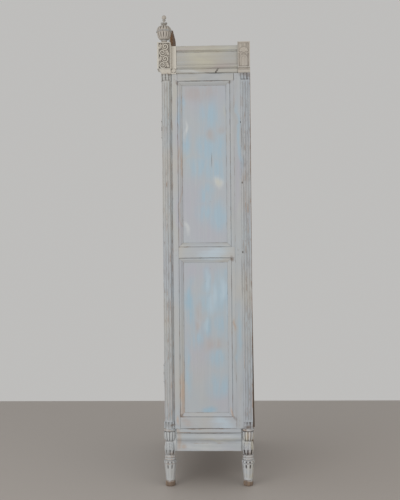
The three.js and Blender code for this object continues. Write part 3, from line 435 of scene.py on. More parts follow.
# Ornament, as reliefs from 0 in the ground to 1 on the crests
def across_each(place, count):
    """From -1 to 1 across each of count equal parts, as place goes from 0 to 1."""
    return ((place * count) % 1 - 0.5) * 2


def flutes(place, count, width_share):
    """Round-bottomed flutes, count times as place goes from 0 to 1."""
    return np.sqrt(np.clip(1 - (across_each(place, count) / width_share) ** 2, 0, 1))


def window(place, low, high, soft):
    """1 from low to high, with quarter-round ends, and 0 outside."""
    near = np.clip(np.minimum(place - low, high - place) / soft, 0, 1)
    return np.sqrt(1 - (1 - near) ** 2)


def leaf(across, along, lobes=4):
    """A carved leaf: across is from -1 to 1 over its place, and along from its root at 0 to its tip at 1."""
    notches = 1 - 0.22 * np.abs(np.sin(lobes * np.pi * along)) ** 0.6
    width = np.sqrt(np.clip(1 - np.clip(along, 0, 1) ** 2.4, 0, 1)) * notches
    inside = np.clip(1 - np.abs(across) / np.maximum(width, 0.05), 0, 1)
    body = np.clip(inside * 2.6, 0, 1) ** 0.6
    veins = 0.5 + 0.5 * np.cos(2 * np.pi * (lobes * along + 1.5 * np.abs(across)))
    middle = np.exp(-(across / 0.1) ** 2)
    return body * np.clip(0.72 + 0.28 * veins - 0.45 * middle, 0, 1) * ((along >= 0) & (along <= 1))


def rosette(across, up):
    """A flower of eight petals in a circle of radius 1."""
    radius = np.hypot(across, up)
    wave = np.abs(np.cos(4 * np.arctan2(up, across)))
    petal = np.clip((0.86 + 0.14 * wave - radius) * 7, 0, 1) * (0.55 + 0.45 * wave ** 0.5)
    heart = np.sqrt(np.clip(1 - (radius / 0.3) ** 2, 0, 1))
    ring = np.exp(-((radius - 0.36) / 0.06) ** 2)
    return np.clip(np.maximum(petal * (1 - 0.7 * ring), heart), 0, 1)


def scroll(us, vs, middle, reach, turn):
    """A curled shoot: a spiral ridge round its middle, which turns one way or the other."""
    across, up = turn * (us - middle[0]) / reach, (vs - middle[1]) / reach
    radius = np.hypot(across, up)
    spiral = np.arctan2(up, across) / (2 * math.pi) - 2.1 * radius ** 0.8
    ridge = (0.5 + 0.5 * np.cos(2 * math.pi * spiral)) ** 0.8
    return ridge * np.clip((1 - radius) * 6, 0, 1)


def relief_marks(height):
    """Marks of a carved surface: its crests are worn, and its ground beside the relief is darkened with dirt
    and painted shade.
    """
    beside = height
    for axis in range(height.ndim if height.ndim > 1 else 0):
        beside = np.maximum.reduce([np.roll(beside, shift, axis) for shift in range(-3, 4)])
    dirt_and_shade = 0.9 * (1 - height) * (beside if height.ndim > 1 else 1)
    return marks_of(5 * (1 - height) ** 0.7 + 0.6, 6 * height + 0.8, dirt_and_shade)


def make(node, shape, material, body="cabinet"):
    """One finished piece, which rides on a body and stands for the CAD node of its name, if there is one."""
    name = node + ".look"
    stands_for = [node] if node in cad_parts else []
    mesh = bpy.data.meshes.new(name)
    points = (np.concatenate(shape.points) - (0, origin_y, 0)) * MM
    mesh.from_pydata(points.tolist(), [], shape.faces)
    marks = np.concatenate(shape.marks)
    for i, mark in enumerate(MARKS):
        values = mesh.attributes.new(mark, "FLOAT", "POINT").data
        values.foreach_set("value", marks[:, i].astype(np.float32))
    mesh.polygons.foreach_set("use_smooth", np.ones(len(mesh.polygons), bool))
    mesh.set_sharp_from_angle(angle=smooth_angle)
    mesh.materials.append(material)
    piece = bpy.data.objects.new(name, mesh)
    bpy.context.collection.objects.link(piece)
    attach(piece, body)
    if stands_for:
        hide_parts(*stands_for)


def make_both(node, shape, material):
    """A piece on the right and its mirror image on the left."""
    make(node + "_right", shape, material)
    make(node + "_left", shape.mirrored(), material)


class Graph:
    """Short names for the nodes of one material, and its colour so far. Places are in the piece's own
    axes, in metres."""

    def __init__(self, name, colour):
        self.colour = colour
        self.material = bpy.data.materials.new(name)
        self.material.use_nodes = True
        self.tree = self.material.node_tree
        self.shader = self.tree.nodes["Principled BSDF"]
        self.place = self.node("TexCoord").outputs["Object"]

    def node(self, kind, inputs=(), **settings):
        """A node with its settings, and with values or links for its inputs, in order or by their names."""
        made = self.tree.nodes.new("ShaderNode" + kind)
        for key, value in settings.items():
            setattr(made, key, value)
        self.put(made, inputs)
        return made

    def put(self, made, inputs):
        for key, value in inputs.items() if isinstance(inputs, dict) else enumerate(inputs):
            if isinstance(value, bpy.types.NodeSocket):
                self.tree.links.new(value, made.inputs[key])
            else:
                made.inputs[key].default_value = value

    def calc(self, operation, first, second=0.0, clamp=False):
        return self.node("Math", (first, second), operation=operation, use_clamp=clamp).outputs[0]

    def times(self, first, second, clamp=False):
        return self.calc("MULTIPLY", first, second, clamp)

    def vector(self, operation, *inputs):
        made = self.node("VectorMath", inputs, operation=operation)
        return made.outputs["Value" if operation == "LENGTH" else "Vector"]

    def rise(self, *inputs):
        """Rises from 0 to 1, or between two other values, as a value goes from low to high."""
        return self.node("MapRange", inputs, interpolation_type="SMOOTHSTEP").outputs[0]

    def blend(self, share, low, high):
        return self.node("Mix", {0: share, 6: low, 7: high}, data_type="RGBA").outputs[2]

    def coat(self, share, colour):
        """Lays a colour over the one so far."""
        self.colour = self.blend(share, self.colour, colour)

    def mark(self, name):
        return self.node("Attribute", attribute_name=name).outputs["Fac"]

    def noise(self, scale, detail=3.0, seed=0.0, roughness=0.55):
        moved = self.vector("ADD", self.place, (seed, 0.7 * seed, -0.4 * seed))
        place = self.vector("MULTIPLY", moved, scale)
        inputs = {"Vector": place, "Scale": 1.0, "Detail": detail, "Roughness": roughness}
        return self.node("TexNoise", inputs).outputs["Fac"]

    def warped(self, scale, detail, reach):
        """Places moved about by noise, by up to half the reach, in metres."""
        made = self.node("TexNoise", {"Vector": self.place, "Scale": scale, "Detail": detail})
        uneven = self.vector("SUBTRACT", made.outputs["Color"], (0.5,) * 3)
        return self.vector("ADD", self.place, self.vector("MULTIPLY", uneven, (reach,) * 3))

    def parts(self, place):
        return self.node("SeparateXYZ", [place]).outputs

    def right_half(self, place):
        """The place, or on the left its mirror image on the right, moved so that the two sides differ."""
        x, y, z = self.parts(place)
        left = self.calc("LESS_THAN", x, 0.0)
        moved = [self.calc("ADD", part, self.times(left, shift)) for part, shift in zip((y, z), left_shift)]
        return self.node("CombineXYZ", (self.calc("ABSOLUTE", x), *moved)).outputs[0]

    def spots(self, spots, place, soft):
        """1 inside any of some spots, each a place and its reach along x, y and z, in millimetres."""
        whole = 0.0
        for (x, y, z), reach in spots:
            away = self.vector("SUBTRACT", place, (x * MM, (y - origin_y) * MM, z * MM))
            away = self.vector("LENGTH", self.vector("MULTIPLY", away, tuple(1 / (r * MM) for r in reach)))
            whole = self.calc("MAXIMUM", whole, self.rise(away, 1 + soft, 1 - soft))
        return whole

    def finish(self, roughness, height, depth, strength=0.8, metallic=0.0):
        """Gives the shader its colour and roughness, and a bump of some height and depth."""
        bump = self.node("Bump", {"Height": height, "Distance": depth, "Strength": strength})
        surface = {"Base Color": self.colour, "Roughness": roughness, "Metallic": metallic}
        self.put(self.shader, surface | {"Normal": bump.outputs[0]})
        return self.material


def along_grain(grain, across, along):
    """Noise scale for a grain that runs along x, y or z."""
    return tuple(along if axis == grain else across for axis in "xyz")


def side_spots(table, depth):
    """Spots on the right side, given as y, z, reach along y and reach along z, and how deep they reach."""
    return [((half_body, y, z), (depth, reach_y, reach_z)) for y, z, reach_y, reach_z in table]


def painted(
    name, grain, cool=0.5, blue=0.3, lilac=0.4, wear=1.0, lines=0.5, hollows=0.5, spots=None, scars=(),
    base=None, foot=None, carved=0.0, crests=None, bare_back=None,
):
    """Old paint: a grey-cream top coat brushed thin over sky blue, worn to the wood at the edges, and
    darkened in corners (lines) and hollows with dirt and painted shade. spots maps a colour to how strong it
    is and a table of its spots, and scars are dark marks, among them painted shadow lines along rails and
    mouldings. foot is the height up to which the wood is bare, and bare_back the y behind which it was never
    painted. carved makes the crests of a relief paler, in the colour called crests: pale paint and a painted
    highlight."""
    g = Graph(name, base or warm_paint)
    edge, crease, hollow = (g.mark(mark) for mark in MARKS)
    broad = g.noise((2.6, 2.6, 1.9), seed=1.3)
    patch = g.noise(along_grain(grain, 12.0, 5.0), detail=4, seed=4.1)
    second = g.noise(along_grain(grain, 9.0, 4.0), detail=3, seed=8.7)
    streak = g.noise(along_grain(grain, 150.0, 4.0), detail=3, seed=2.2)
    fine = g.noise(along_grain(grain, 420.0, 26.0), detail=2, seed=5.5)
    speck = g.noise(along_grain(grain, 95.0, 22.0), detail=4, seed=6.1)
    brush = g.noise(along_grain(grain, 46.0, 9.0), detail=4, seed=9.2)

    # Coats, spots, brush marks, and paler crests: pale paint with a painted highlight
    low = 0.75 - 0.6 * cool
    g.coat(g.rise(broad, low, low + 0.25), cool_paint)
    low = 0.66 - 0.3 * blue
    g.coat(g.rise(patch, low, low + 0.3, 0.0, 0.25 + 0.5 * blue), blue_paint)
    g.coat(g.rise(second, 0.4, 0.72, 0.0, lilac), lilac_paint)
    for paint, (strength, table) in (spots or {}).items():
        share = g.spots(side_spots(table, spot_depth), g.right_half(g.warped(9.0, 2.0, 0.07)), 0.8)
        share = g.times(share, g.rise(streak, 0.25, 0.6, 0.6, 1.0))
        share = g.times(share, g.rise(brush, 0.32, 0.58, 0.35, 1.1), clamp=True)
        g.coat(g.times(share, strength), paint)
    g.coat(g.rise(streak, 0.4, 0.74, 0.0, 0.18), pale_paint)
    g.coat(g.rise(fine, 0.38, 0.18, 0.0, 0.2), pink_wood)
    if carved:
        share = g.times(g.rise(hollow, 0.5, 0.08), g.rise(second, 0.3, 0.6, 0.5, 1.0))
        g.coat(g.times(share, carved), crests or cream_white)

    # Worn edges, chips and bare wood
    limit = g.times(g.rise(speck, 0.5, 0.72), 1.9 * wear)
    bare = g.rise(g.calc("SUBTRACT", limit, edge), -0.2, 0.6, 0.0, 0.65)
    thinned = g.rise(g.calc("SUBTRACT", g.calc("ADD", limit, 1.1 * wear), edge), -0.4, 1.4, 0.0, 0.4)
    chips = g.rise(g.noise((60.0, 60.0, 38.0), detail=5, seed=11.0), 0.735 - 0.02 * wear, 0.76, 0.0, 0.85)
    g.coat(thinned, g.blend(g.rise(patch, 0.42, 0.58), pink_wood, blue_paint))
    wood = g.blend(g.rise(fine, 0.3, 0.7), brown_wood, orange_wood)
    lost = g.calc("MAXIMUM", bare, chips)
    g.coat(lost, wood)
    if foot:
        height = g.parts(g.warped(40.0, 3.0, 0.02))["Z"]
        shod = g.rise(height, foot * 1.15 * MM, foot * 0.75 * MM, 0.0, 0.92)
        g.coat(shod, g.blend(g.rise(speck, 0.35, 0.65), foot_wood, brown_wood))
    if bare_back is not None:
        behind, limit_y = g.parts(g.warped(30.0, 3.0, 0.002))["Y"], bare_back - origin_y
        share = g.rise(behind, (limit_y - 1.5) * MM, (limit_y + 1.5) * MM)
        back = g.blend(g.rise(streak, 0.35, 0.65), dark_oak, warm_oak)
        g.coat(share, back)

    # Dirt and painted shade in corners and hollows, then scars, some of them painted shadow lines
    reach = g.rise(speck, 0.3, 0.7, 0.8, 2.6)
    line = g.times(g.rise(crease, 0.2, reach, 1.0, 0.0), g.rise(second, 0.3, 0.65, 0.3, 0.9))
    line = g.times(line, lines)
    sunk = g.rise(hollow, 0.3, 0.95, 0.0, hollows)
    sunk = g.times(sunk, g.rise(second, 0.25, 0.7, 0.6, 1.0))
    sunk = g.times(sunk, g.rise(speck, 0.36, 0.54, 0.5, 1.15))
    # Corners and hollows darkened: dirt and painted shade
    g.coat(g.calc("MAXIMUM", line, sunk, clamp=True), dirt_and_shade_brown)
    if scars:
        scar = g.spots(side_spots(scars, scar_depth), g.right_half(g.warped(60.0, 2.0, 0.004)), 0.35)
        g.coat(g.times(scar, 0.85), dirt_and_shade_brown)

    height = g.calc("ADD", g.times(streak, 0.5), g.times(fine, 0.35))
    height = g.calc("SUBTRACT", height, g.times(lost, 0.9))
    return g.finish(g.rise(streak, 0.3, 0.7, 0.66, 0.84), height, 0.0007)


def bare_wood(name, grain, light, dark):
    """Unpainted old wood with grain, darker in corners and hollows with dirt and painted shade."""
    g = Graph(name, dark)
    ring = g.noise(along_grain(grain, 75.0, 1.8), detail=7, seed=3.3, roughness=0.68)
    pore = g.noise(along_grain(grain, 620.0, 14.0), detail=2, seed=7.9)
    stain = g.noise((5.0, 5.0, 5.0), detail=4, seed=9.4)
    g.coat(g.rise(ring, 0.32, 0.68), light)
    g.coat(g.rise(pore, 0.55, 0.72, 0.0, 0.5), dark)
    g.coat(g.rise(stain, 0.5, 0.72, 0.0, 0.55), dark)
    corner = g.rise(g.mark("crease"), 0.3, 5.0, 0.7, 0.0)
    grime_and_shade = g.calc("MAXIMUM", corner, g.times(g.mark("hollow"), 0.6))
    g.coat(grime_and_shade, dirt_and_shade_brown)
    worn = g.times(g.rise(g.mark("edge"), 3.0, 0.2, 0.0, 0.5), g.rise(stain, 0.4, 0.6))
    g.coat(worn, light)
    height = g.calc("ADD", g.times(ring, 0.5), g.times(pore, 0.5))
    return g.finish(g.rise(stain, 0.3, 0.7, 0.6, 0.8), height, 0.0008)


def metal(name, light, dark, rust, polish, marks=True, coat=0.0):
    """Old metal, with rust or tarnish in patches, brighter edges where the piece has marks, and a coat of
    paint left on part of it."""
    g = Graph(name, light)
    patch = g.noise((70.0, 70.0, 70.0), detail=5, seed=2.9)
    grainy = g.noise((900.0, 900.0, 900.0), detail=2, seed=6.6)
    g.coat(g.rise(patch, 0.4, 0.6), dark)
    g.coat(g.rise(patch, 0.58, 0.7, 0.0, 0.8), rust)
    if marks:
        g.coat(g.rise(g.mark("edge"), 1.2, 0.1, 0.0, 0.5), light)
        # Corners and hollows darkened with dirt and painted shade
        grime_and_shade = g.calc("MAXIMUM", g.rise(g.mark("crease"), 0.1, 1.5, 0.7, 0.0), g.mark("hollow"))
        g.coat(g.times(grime_and_shade, 0.8), dirt_and_shade_brown)
    shine = g.rise(patch, 0.55, 0.72, 1.0, 0.25)
    rough = g.rise(patch, 0.35, 0.65, polish, polish + 0.3)
    if coat:
        flake = g.noise((160.0, 160.0, 110.0), detail=4, seed=4.8)
        kept = g.times(flake, g.rise(g.mark("edge"), 0.1, 1.4, 0.75, 1.15))
        left = g.rise(kept, 0.5 - coat, 0.56 - coat)
        g.coat(left, g.blend(g.rise(patch, 0.35, 0.65), cool_paint, warm_paint))
        shine = g.times(shine, g.calc("SUBTRACT", 1.0, left))
        rough = g.calc("MAXIMUM", rough, g.times(left, 0.72))
    height = g.calc("ADD", patch, g.times(grainy, 0.3))
    return g.finish(rough, height, 0.0004, 0.6, shine)


# Spots of colour on the right side: how strong each colour is, and for each spot its y, z and its reach
# along y and z. Scars are given in the same way.
upper_spots = {
    lilac_paint: (0.6, [(170, 1830, 110, 60), (150, 1330, 60, 110), (220, 1200, 90, 60)]),
    blue_paint: (0.9, [
        (222, 1740, 40, 74), (212, 1588, 44, 62), (271, 1590, 34, 74), (180, 1506, 52, 50),
        (203, 1371, 30, 46), (202, 1280, 32, 44), (268, 1262, 38, 60), (103, 1802, 10, 48),
        (113, 1615, 26, 60), (250, 1480, 52, 50),
    ]),
    pale_paint: (0.9, [(262, 1420, 19, 27), (114, 1681, 6, 34), (110, 1215, 9, 22)]),
    pink_wood: (0.6, [(234, 1652, 15, 30), (281, 1677, 14, 14), (170, 1850, 70, 36)]),
    cream_paint: (0.45, [(303, 1726, 8, 50), (262, 1418, 12, 20)]),
}
upper_scars = [(234, 1532, 0.9, 36)]
lower_spots = {
    lilac_paint: (0.6, [(150, 1010, 90, 30), (160, 640, 70, 120), (270, 420, 50, 60)]),
    blue_paint: (0.85, [
        (199, 960, 20, 60), (266, 900, 54, 84), (299, 982, 16, 36), (150, 700, 34, 44),
        (284, 756, 40, 56), (254, 599, 44, 46), (262, 469, 48, 50), (110, 559, 15, 100),
        (225, 860, 60, 50),
    ]),
    deep_blue: (0.8, [(122, 850, 16, 100), (210, 749, 24, 44), (210, 345, 30, 18)]),
    pale_blue: (0.6, [
        (200, 965, 9, 44), (232, 880, 16, 60), (272, 920, 14, 46), (300, 850, 9, 60), (206, 760, 12, 30),
    ]),
    pink_wood: (0.6, [(167, 828, 12, 36), (152, 757, 12, 22), (236, 668, 56, 26)]),
}
post_spots = {
    grey_paint: (0.9, [(346, 1500, 16, 460), (346, 600, 14, 300)]),
    lilac_paint: (0.7, [(84, 1700, 12, 180), (352, 1450, 14, 160), (84, 1240, 12, 160)]),
    blue_paint: (0.7, [(361, 1640, 8, 150), (353, 690, 10, 130), (86, 1750, 9, 80)]),
    orange_wood: (0.6, [(80, 1558, 4, 30), (94, 1500, 4, 60), (90, 1314, 4, 90), (330, 757, 5, 24)]),
    peach_wood: (0.65, [(88, 430, 9, 120), (98, 350, 14, 24), (66, 300, 6, 22), (318, 340, 6, 20)]),
    brown_wood: (0.75, [
        (79, 1899, 6, 8), (326, 1899, 7, 8), (91, 1143, 6, 8), (326, 1069, 7, 8),
        (88, 328, 8, 9), (326, 328, 8, 8), (396, 1926, 24, 10), (396, 282, 24, 9),
        (30, 1930, 20, 6), (30, 280, 20, 6),
    ]),
}
post_scars = [
    (376, 1425, 2.6, 5), (371, 1709, 2.2, 4), (376, 1099, 3, 5), (376, 1640, 1.0, 60),
    (371, 980, 0.9, 90), (100, 1908, 26, 1.0), (341, 1922, 1.2, 17),
    (76, 1100, 1.0, 26), (76, 300, 1.2, 30),
]
rail_spots = {
    grey_paint: (0.95, [(205, 1884, 190, 34), (205, 1935, 190, 16), (345, 1500, 14, 420)]),
    pale_blue: (0.75, [(232, 1094, 66, 22), (262, 292, 44, 20)]),
    pale_paint: (0.6, [(180, 190, 100, 14), (260, 238, 60, 8)]),
    pink_wood: (0.7, [(104, 296, 18, 18)]),
    cream_paint: (0.5, [(250, 225, 70, 6)]),
    orange_wood: (0.5, [(62, 220, 8, 50), (84, 190, 12, 14)]),
    brown_wood: (0.75, [(326, 1069, 7, 7), (88, 328, 7, 7), (326, 328, 7, 7)]),
}
frieze_spots = {
    grey_paint: (0.6, [(95, 1990, 50, 60), (330, 2030, 50, 60), (150, 1925, 150, 26)]),
    pale_paint: (0.5, [(150, 1960, 60, 8)]),
    pink_wood: (0.7, [(130, 2060, 50, 9), (270, 1975, 60, 12)]),
    cream_paint: (0.5, [(190, 2020, 60, 34), (290, 2046, 60, 14)]),
}
# Scars on the rails: the small ones are marks, and the long thin ones under the frieze, under the top and
# middle rails, above the base and in its groove are painted shadow lines
rail_scars_and_shadow_lines = [
    (254, 1941, 38, 1.6), (258, 1946, 4, 5), (263, 1953, 4, 5), (268, 1960, 3, 4), (200, 1906, 120, 0.8),
    (205, 1074, 118, 1.0), (200, 272, 130, 1.3), (205, 249.5, 140, 1.4),
]

# The back leg is yellowed towards the back, and the front leg a little at its foot
leg_spots = {
    yellow_paint: (0.95, [(416, 90, 14, 70), (418, 190, 12, 50), (380, 230, 14, 30), (410, 40, 26, 14)]),
    peach_wood: (0.5, [(396, 150, 26, 20), (30, 150, 14, 16), (396, 240, 20, 20)]),
}

post_paint = painted(
    "post_paint", "z", cool=0.75, blue=0.15, lilac=0.3, wear=0.7, lines=0.2, hollows=0.75, spots=post_spots,
    scars=post_scars, bare_back=body_depth - 1.8,
)
side_rail_paint = painted(
    "side_rail_paint", "y", cool=0.6, blue=0.15, lilac=0.35, wear=0.7, lines=0.3, hollows=0.3,
    spots=rail_spots, scars=rail_scars_and_shadow_lines,
)
frieze_paint = painted(
    "frieze_paint", "y", cool=0.1, blue=0.0, lilac=0.15, wear=0.7, lines=0.3, hollows=0.3,
    spots=frieze_spots, scars=rail_scars_and_shadow_lines, base=frieze_cream,
)
front_rail_paint = painted("front_rail_paint", "x", cool=0.55, blue=0.25, wear=0.8, lines=0.5, hollows=0.5)
back_rail_paint = painted(
    "back_rail_paint", "x", cool=0.5, blue=0.1, wear=1.0, lines=0.5, hollows=0.5, bare_back=body_depth - 6.0,
)
upper_panel_paint = painted(
    "upper_panel_paint", "z", cool=0.9, blue=0.1, lilac=0.22, wear=0.5, lines=0.25, spots=upper_spots,
    scars=upper_scars,
)
lower_panel_paint = painted(
    "lower_panel_paint", "z", cool=0.9, blue=0.2, lilac=0.3, wear=0.5, lines=0.25, spots=lower_spots,
)
door_panel_paint = painted("door_panel_paint", "z", cool=0.9, blue=0.7, wear=0.5, lines=0.4)
leg_paint = painted(
    "leg_paint", "z", cool=0.7, blue=0.25, wear=0.95, lines=1.0, hollows=1.0, foot=foot_height, carved=0.6,
    crests=cool_white, spots=leg_spots,
)
plain_carving = {"cool": -0.4, "lilac": 0.1}
block_paint = painted(
    "block_paint", "z", blue=0.0, wear=0.5, lines=0.5, hollows=0.95, base=beige_paint, carved=0.7,
    **plain_carving,
)
back_block_paint = painted(
    "back_block_paint", "z", blue=0.0, wear=0.5, lines=0.6, hollows=0.5, base=dull_beige, carved=0.2,
    **plain_carving,
)
finial_paint = painted(
    "finial_paint", "z", blue=-0.2, wear=0.9, lines=0.5, hollows=1.0, base=taupe_paint, carved=0.3,
    **plain_carving,
)
crest_paint = painted(
    "crest_paint", "x", cool=0.3, blue=0.2, wear=1.2, lines=0.6, hollows=0.8, carved=0.5, bare_back=18.0,
)
board_wood = bare_wood("board_wood", "z", srgb(146, 124, 100), srgb(102, 82, 63))
shelf_wood = bare_wood("shelf_wood", "x", srgb(164, 138, 108), srgb(118, 93, 70))
cleat_wood = bare_wood("cleat_wood", "y", srgb(152, 126, 98), srgb(108, 84, 63))
iron_colours = (srgb(96, 90, 86), srgb(62, 57, 54), srgb(104, 72, 54))
iron = metal("iron", *iron_colours, 0.4)
hinge_iron = metal("hinge_iron", *iron_colours, 0.4, coat=0.1)
plain_iron = metal("plain_iron", srgb(88, 82, 78), srgb(58, 53, 50), srgb(100, 70, 53), 0.42, marks=False)
brass = metal("brass", srgb(176, 146, 92), srgb(124, 98, 58), srgb(88, 78, 54), 0.32)


# Corner posts
def column_outline():
    """Plan of the front post, with its round fluted column."""
    low, high = column_angles
    angles = np.radians(np.linspace(low, high, round((high - low) / column_step) + 1))
    flute = flutes((angles + math.pi / 4) / (2 * math.pi), column_flutes, column_flute_share)
    flute[[0, -1]] = 0
    radius = column_radius - column_flute_depth * flute
    arc = np.stack([column_x + radius * np.cos(angles), column_y + radius * np.sin(angles)], axis=1)
    return [
        (opening_half, front_face), (column_x - column_radius, front_face), *arc,
        (half_body, 2 * column_radius), (half_body, shoulder_front), (stop_half, shoulder_front),
        (stop_half, stop_face), (opening_half, stop_face),
    ]


def cap_leaves(place, count, height):
    """Relief of the leaves at both ends of a post: tips hang down at its top and stand up at its foot."""
    across = across_each(place, count)
    from_top, from_foot = (body_top - height) / cap_height, (height - body_bottom) / cap_height
    return np.maximum(leaf(across, from_top, 3), leaf(across, from_foot, 2))


def flute_strength(height):
    low = body_bottom + cap_height + flute_clear
    return float(window(height, low, body_top - cap_height - flute_clear, flute_end))


def post_marks(marks, on, sunk, relief, height):
    """Marks of a post's section at a height, for the points on its ornament: sunk is their share of a
    flute's depth, and relief the height of the leaves there."""
    marks, strength = marks.copy(), flute_strength(height)
    # Flutes are darkened by their depth: dirt and painted shade
    marks[:, 2] = flute_dirt_and_shade * sunk * strength
    if height > body_top - cap_height or height < body_bottom + cap_height:
        marks[on] = relief_marks(relief[on])
    elif strength < 0.5:
        marks[on, 0] = FAR
    return marks


def column_morph(points, marks, height):
    away = points - (column_x, column_y)
    radius = np.linalg.norm(away, axis=1)
    on = radius < column_radius + 0.05
    depth = np.where(on, column_radius - radius, 0)
    turn = (np.arctan2(away[:, 1], away[:, 0]) + math.pi / 4) / (2 * math.pi)
    relief = np.where(on, cap_leaves(turn, column_flutes, height), 0)
    new = radius + depth * (1 - flute_strength(height)) + cap_relief * relief
    marks = post_marks(marks, on, depth / column_flute_depth, relief, height)
    return (column_x, column_y) + away * (new / radius)[:, None], marks


def pilaster_outline():
    """Plan of the back post, with its flat fluted pilaster."""
    last = body_depth - pilaster_corner
    ys = np.linspace(pilaster_front, last, 34)
    share = (ys - pilaster_front - pilaster_margin) / (last - pilaster_front - pilaster_margin)
    flute = np.where(share >= 0, flutes(share, pilaster_flutes, pilaster_flute_share), 0)
    flute[[0, -1]] = 0
    face = np.stack([pilaster_x - pilaster_flute_depth * flute, ys], axis=1)
    turns = np.radians([30, 60, 90])
    round_x = pilaster_x - pilaster_corner * (1 - np.cos(turns))
    corner = np.stack([round_x, body_depth - pilaster_corner * (1 - np.sin(turns))], axis=1)
    return [
        (back_inner, shoulder_back), (half_body, shoulder_back), (half_body, pilaster_front), *face, *corner,
        (rebate_x, body_depth), (rebate_x, rebate_y), (back_inner, rebate_y),
    ]


def pilaster_morph(points, marks, height):
    on = (points[:, 0] > pilaster_x - pilaster_flute_depth - 0.2) & (points[:, 1] > pilaster_front + 0.2)
    on &= points[:, 1] < body_depth - pilaster_corner + 0.1
    depth = np.where(on, pilaster_x - points[:, 0], 0)
    place = (points[:, 1] - pilaster_front) / (body_depth - pilaster_front)
    relief = np.where(on, cap_leaves(place, pilaster_flutes, height), 0)
    new = points.copy()
    new[:, 0] += depth * (1 - flute_strength(height)) + cap_relief * relief
    return new, post_marks(marks, on, depth / pilaster_flute_depth, relief, height)


def post_stops():
    """Heights at which a post's section is drawn, close together at its caps and its flutes' ends."""
    reach = cap_height + flute_clear + flute_end + 2
    near = np.arange(1.2, reach, 1.6)
    middle = np.linspace(body_bottom + reach + 20, body_top - reach - 20, 12)
    return [*(body_bottom + near), *(body_top - near), *middle]


# Mouldings round the panels
def mould_outline(thickness):
    face = [(place * mould_width, -drop * mould_drop) for place, drop in mould_shares]
    back = mould_inset - thickness
    return [*face, (mould_width, back), (-mould_lap, back), (-mould_lap, -mould_inset), (0, -mould_inset)]


def mould_strip(shape, start, across, outward, along, length, thickness):
    """One side of a panel's moulding, mitred at both ends."""
    section = trace(mould_outline(thickness), rounding=0.4)
    sweep(
        shape, section, (across, outward, along), 0, length, origin=start, ends="joint joint",
        cut=lambda flat: np.maximum(flat[:, 0], 0) + fit_gap / 2,
    )


def post_strips(shape, place, direction):
    for low, high in panel_heights:
        start = (half_body, place, low)
        mould_strip(shape, start, direction * Y, X, Z, high - low, frame_thickness)


def on_stop_face(points, margin):
    """Which points lie on the stop face beside the bolt's pocket, up to a margin beyond its sides."""
    beside = (points[:, 1] > pocket_sides[0] - margin) & (points[:, 1] < pocket_sides[1] + margin)
    return beside & (np.abs(points[:, 0] - stop_half) < face_slack)


def with_pocket(section):
    """The front post's section with four points on its stop face, of which pocket_morph pushes in two."""
    points, marks = section
    near = np.flatnonzero(on_stop_face(points, 1.0))
    before, after = near[0], near[-1] + 1
    low, high = pocket_sides
    ys = [low, low + pocket_inset, high - pocket_inset, high]
    if points[before - 1, 1] > points[after, 1]:
        ys.reverse()
    ends = points[:before], [(stop_half, y) for y in ys], points[after:]
    end_marks = marks[:before], [(5.0, FAR, 0.0)] * len(ys), marks[after:]
    return np.concatenate(ends), np.concatenate(end_marks)


def pocket_morph(points, marks, height):
    new, marks = column_morph(points, marks, height)
    if pocket_ends[0] <= height <= pocket_ends[1]:
        inner = on_stop_face(points, -pocket_inset / 2)
        side = np.sign(points[inner, 1] - sum(pocket_sides) / 2)
        new[inner, 0] += pocket_depth
        new[inner, 1] += side * (pocket_inset - pocket_lean)
        # The pocket's floor and walls are marked as a deep hollow and corner, so they are painted dark:
        # painted shade inside the pocket
        marks[on_stop_face(points, 0.1)] = (FAR, 0.5, 1.0)
    return new, marks


def front_post(pocket=False):
    shape = Shape()
    section, stops, morph = trace(column_outline()), post_stops(), column_morph
    if pocket:
        section, morph = with_pocket(section), pocket_morph
        low, high = pocket_ends
        stops += [low - pocket_lean, low, high, high + pocket_lean]
    sweep(shape, section, (X, Y, Z), body_bottom, body_top, ends="joint joint", morph=morph, stops=stops)
    post_strips(shape, shoulder_front, 1)
    pegs(shape, half_body, peg_front, X, Y)
    return shape


def back_post():
    shape = sweep(
        Shape(), trace(pilaster_outline()), (X, Y, Z), body_bottom, body_top, ends="joint joint",
        morph=pilaster_morph, stops=post_stops(),
    )
    inner = half_body - frame_thickness
    strip = [(inner, mould_back), (half_body, mould_back), (half_body, shoulder_back), (inner, shoulder_back)]
    points, marks = trace(strip, rounding=0.02)
    marks[:, 0] = np.where(points[:, 1] > mould_back + 8, FAR, points[:, 1] - mould_back)
    for low, high in panel_heights:
        sweep(shape, (points, marks), (X, Y, Z), low, high, ends="joint joint")
    post_strips(shape, mould_back, -1)
    pegs(shape, half_body, peg_back, X, Y)
    return shape


# Side frames
def rails_of(low, high):
    """Name, lower and upper height of the three rails of a frame, and the height and direction of the
    mouldings on each."""
    return (
        ("bottom", low, bottom_rail_high, [(bottom_rail_high, 1)]),
        ("middle", *middle_rail, [(middle_rail[0], -1), (middle_rail[1], 1)]),
        ("top", top_rail_low, high, [(top_rail_low, -1)]),
    )


def side_rail(low, high, strips):
    box_low = (half_body - frame_thickness, shoulder_front + fit_gap, low)
    box_high = (half_body, shoulder_back - fit_gap, high)
    shape = rounded_box(Shape(), box_low, box_high, along=1, ends="joint joint", rounding=0.5)
    for height, direction in strips:
        start = (half_body, shoulder_front, height)
        mould_strip(shape, start, direction * Z, X, Y, mould_back - shoulder_front, frame_thickness)
    return shape


def panel_lines(low, high):
    """Places across a panel, close together along its sight lines, and the panel's lap beyond them."""
    inner = np.array(divide(high - low, near_sight) + [high - low]) + low
    return np.concatenate([[low - tongue_reach], inner, [high + tongue_reach]])


def from_ends(lines):
    return np.minimum(lines - lines[0], lines[-1] - lines)


